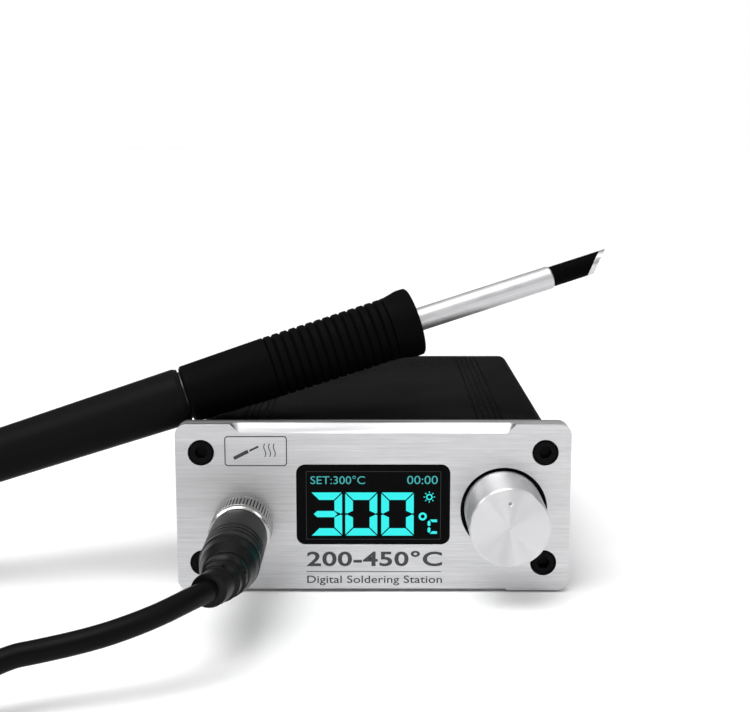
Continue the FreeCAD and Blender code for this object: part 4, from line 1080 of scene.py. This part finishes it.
# Lettering: text made a mesh, fitted to its box and stood up on a face
def lettering(name, text, x0, x1, z0, z1, face, thickness, back=False, weight=0.0):
    curve = bpy.data.curves.new(name, "FONT")
    curve.body = text
    curve.offset = weight
    curve.space_character = 1.0 + 2 * weight
    curve.extrude = 0.5
    curve.resolution_u = 4
    holder = bpy.data.objects.new(name, curve)
    mesh = bpy.data.meshes.new_from_object(holder)
    mesh.name = name
    bpy.data.objects.remove(holder)
    bpy.data.curves.remove(curve)
    points = pointsOf(mesh)
    low, high = points.min(0), points.max(0)
    share = (points - low) / (high - low)
    across = x1 - (x1 - x0) * share[:, 0] if back else x0 + (x1 - x0) * share[:, 0]
    y = face + thickness * share[:, 2] * (1 if back else -1)
    putPoints(mesh, np.stack([across, y, z0 + (z1 - z0) * share[:, 1]], -1) * mm)
    rework(mesh, lambda work: bmesh.ops.remove_doubles(work, verts=work.verts, dist=1e-7))
    return finished(name, mesh, sharp=30)


# A ring between two circles round a middle
def circleRing(middle, outer, inner):
    return outlineRing(circleOutline(*middle, outer), circleOutline(*middle, inner))


def sunMark():
    s = display["sun"]
    x, z = s["middle"]
    rays = []
    for k in range(s["rays"]):
        a = k * 2 * math.pi / s["rays"]
        across, up = math.cos(a), math.sin(a)
        rays.append(bar(x + across * s["rayFrom"], z + up * s["rayFrom"],
                        x + across * s["rayTo"], z + up * s["rayTo"], s["rayWidth"]))
    return circleRing(s["middle"], s["outer"], s["inner"]) + rays


def makeDisplay():
    face, thick = display["face"], display["thickness"]

    def lay(piece, brightness):
        settle(piece, look[brightness], "station")

    bars = []
    for char, (x0, x1) in zip(display["text"], display["digits"]):
        bars += digitBars(char, x0, x1, display["digitLow"], display["digitHigh"],
                          display["bar"], display["gap"])
    lay(prisms("display_digits", bars, face, thick), "brightSegments")
    lay(lettering("display_setting", *display["setting"], face, thick), "dimSegments")
    lay(lettering("display_clock", *display["clock"], face, thick), "dimSegments")
    degree = display["degree"]
    ring = circleRing(degree["middle"], degree["outer"], degree["inner"])
    lay(prisms("display_marks", ring + display["letter"] + sunMark(), face, thick),
        "brightSegments")
    x0, x1, z0, z1 = display["area"]
    line, corner = display["areaLine"], display["areaCorner"]
    area = outlineRing(roundedOutline(x0, x1, z0, z1, corner, 3),
                       roundedOutline(x0 + line, x1 - line, z0 + line, z1 - line, corner, 3))
    lay(prisms("display_area", area, face + display["areaBehind"], thick), "ghost")


makeDisplay()

# Print on the front panel, in millimetres
panelPrint = {
    "face": 0.0, "thickness": 0.02,
    "frame": (-32.8, -19.0, 29.1, 35.9), "frameLine": 0.24, "frameCorners": (0.75, 0.55),
    "ironMark": [[(-30.6, 30.5), (-27.4, 32.1), (-27.75, 32.85), (-30.9, 31.2)],
                 [(-27.2, 32.35), (-25.2, 33.35), (-25.4, 33.75), (-27.4, 32.75)]],
    "heat": {"lines": 3, "left": -23.9, "pitch": 1.05, "low": 31.2, "height": 3.0,
             "sway": 0.22, "half": 0.11, "rows": 8},
    "rule": (-14.9, 15.2, 4.78, 4.94),
    "range": ("200-450°C", -14.8, 15.4, 6.1, 9.7), "rangeWeight": 0.022,
    "purpose": ("Digital Soldering Station", -14.8, 15.4, 1.65, 3.95), "purposeWeight": 0.008,
}


# Rising heat: upright strips, each at x = left + sway sin(2 pi t) for t from 0 to 1
def heatMarks():
    h = panelPrint["heat"]
    t = np.linspace(0, 1, h["rows"] + 1)
    z = h["low"] + h["height"] * t
    strips = []
    for k in range(h["lines"]):
        x = h["left"] + k * h["pitch"] + h["sway"] * np.sin(t * 2 * math.pi)
        left, right = list(zip(x - h["half"], z)), list(zip(x + h["half"], z))
        strips += [[left[i], right[i], right[i + 1], left[i + 1]] for i in range(h["rows"])]
    return strips


def makePanelPrint():
    p = panelPrint
    face, thick, line = p["face"], p["thickness"], p["frameLine"]

    def lay(piece):
        settle(piece, look["ink"], "station")

    x0, x1, z0, z1 = p["frame"]
    outer, inner = p["frameCorners"]
    marks = outlineRing(roundedOutline(x0, x1, z0, z1, outer),
                        roundedOutline(x0 + line, x1 - line, z0 + line, z1 - line, inner))
    left, right, low, high = p["rule"]
    rule = [[(left, low), (right, low), (right, high), (left, high)]]
    lay(prisms("panel_marks", marks + p["ironMark"] + heatMarks() + rule, face, thick))
    lay(lettering("panel_range", *p["range"], face, thick, weight=p["rangeWeight"]))
    lay(lettering("panel_purpose", *p["purpose"], face, thick, weight=p["purposeWeight"]))


makePanelPrint()

# Print on the back: the inlet's rating
backPrint = {"face": 108.5, "thickness": 0.02, "rating": ("DC 24 V", 19.0, 29.0, 12.2, 14.2)}


def makeBackPrint():
    face, thick = backPrint["face"], backPrint["thickness"]
    settle(lettering("inlet_rating", *backPrint["rating"], face, thick, back=True),
           look["whiteInk"], "station")


makeBackPrint()
print("display and print made")

dressNodes()


def makeFloor():
    stand = {"half": 40.0, "colour": (0.92, 0.92, 0.92)}
    mesh = bpy.data.meshes.new("floor")
    h = stand["half"]
    mesh.from_pydata([(-h, -h, 0), (h, -h, 0), (h, h, 0), (-h, h, 0)], [], [(0, 1, 2, 3)])
    floor = bpy.data.objects.new("floor", mesh)
    scene.collection.objects.link(floor)
    material = finish("paleFloor", stand["colour"], tuple(c * 1.01 for c in stand["colour"]),
                      (0.6, 0.7), grain={"scale": 900, "depth": 0.00002})
    mesh.materials.append(material)


makeFloor()
scene.view_settings.view_transform = "Standard"
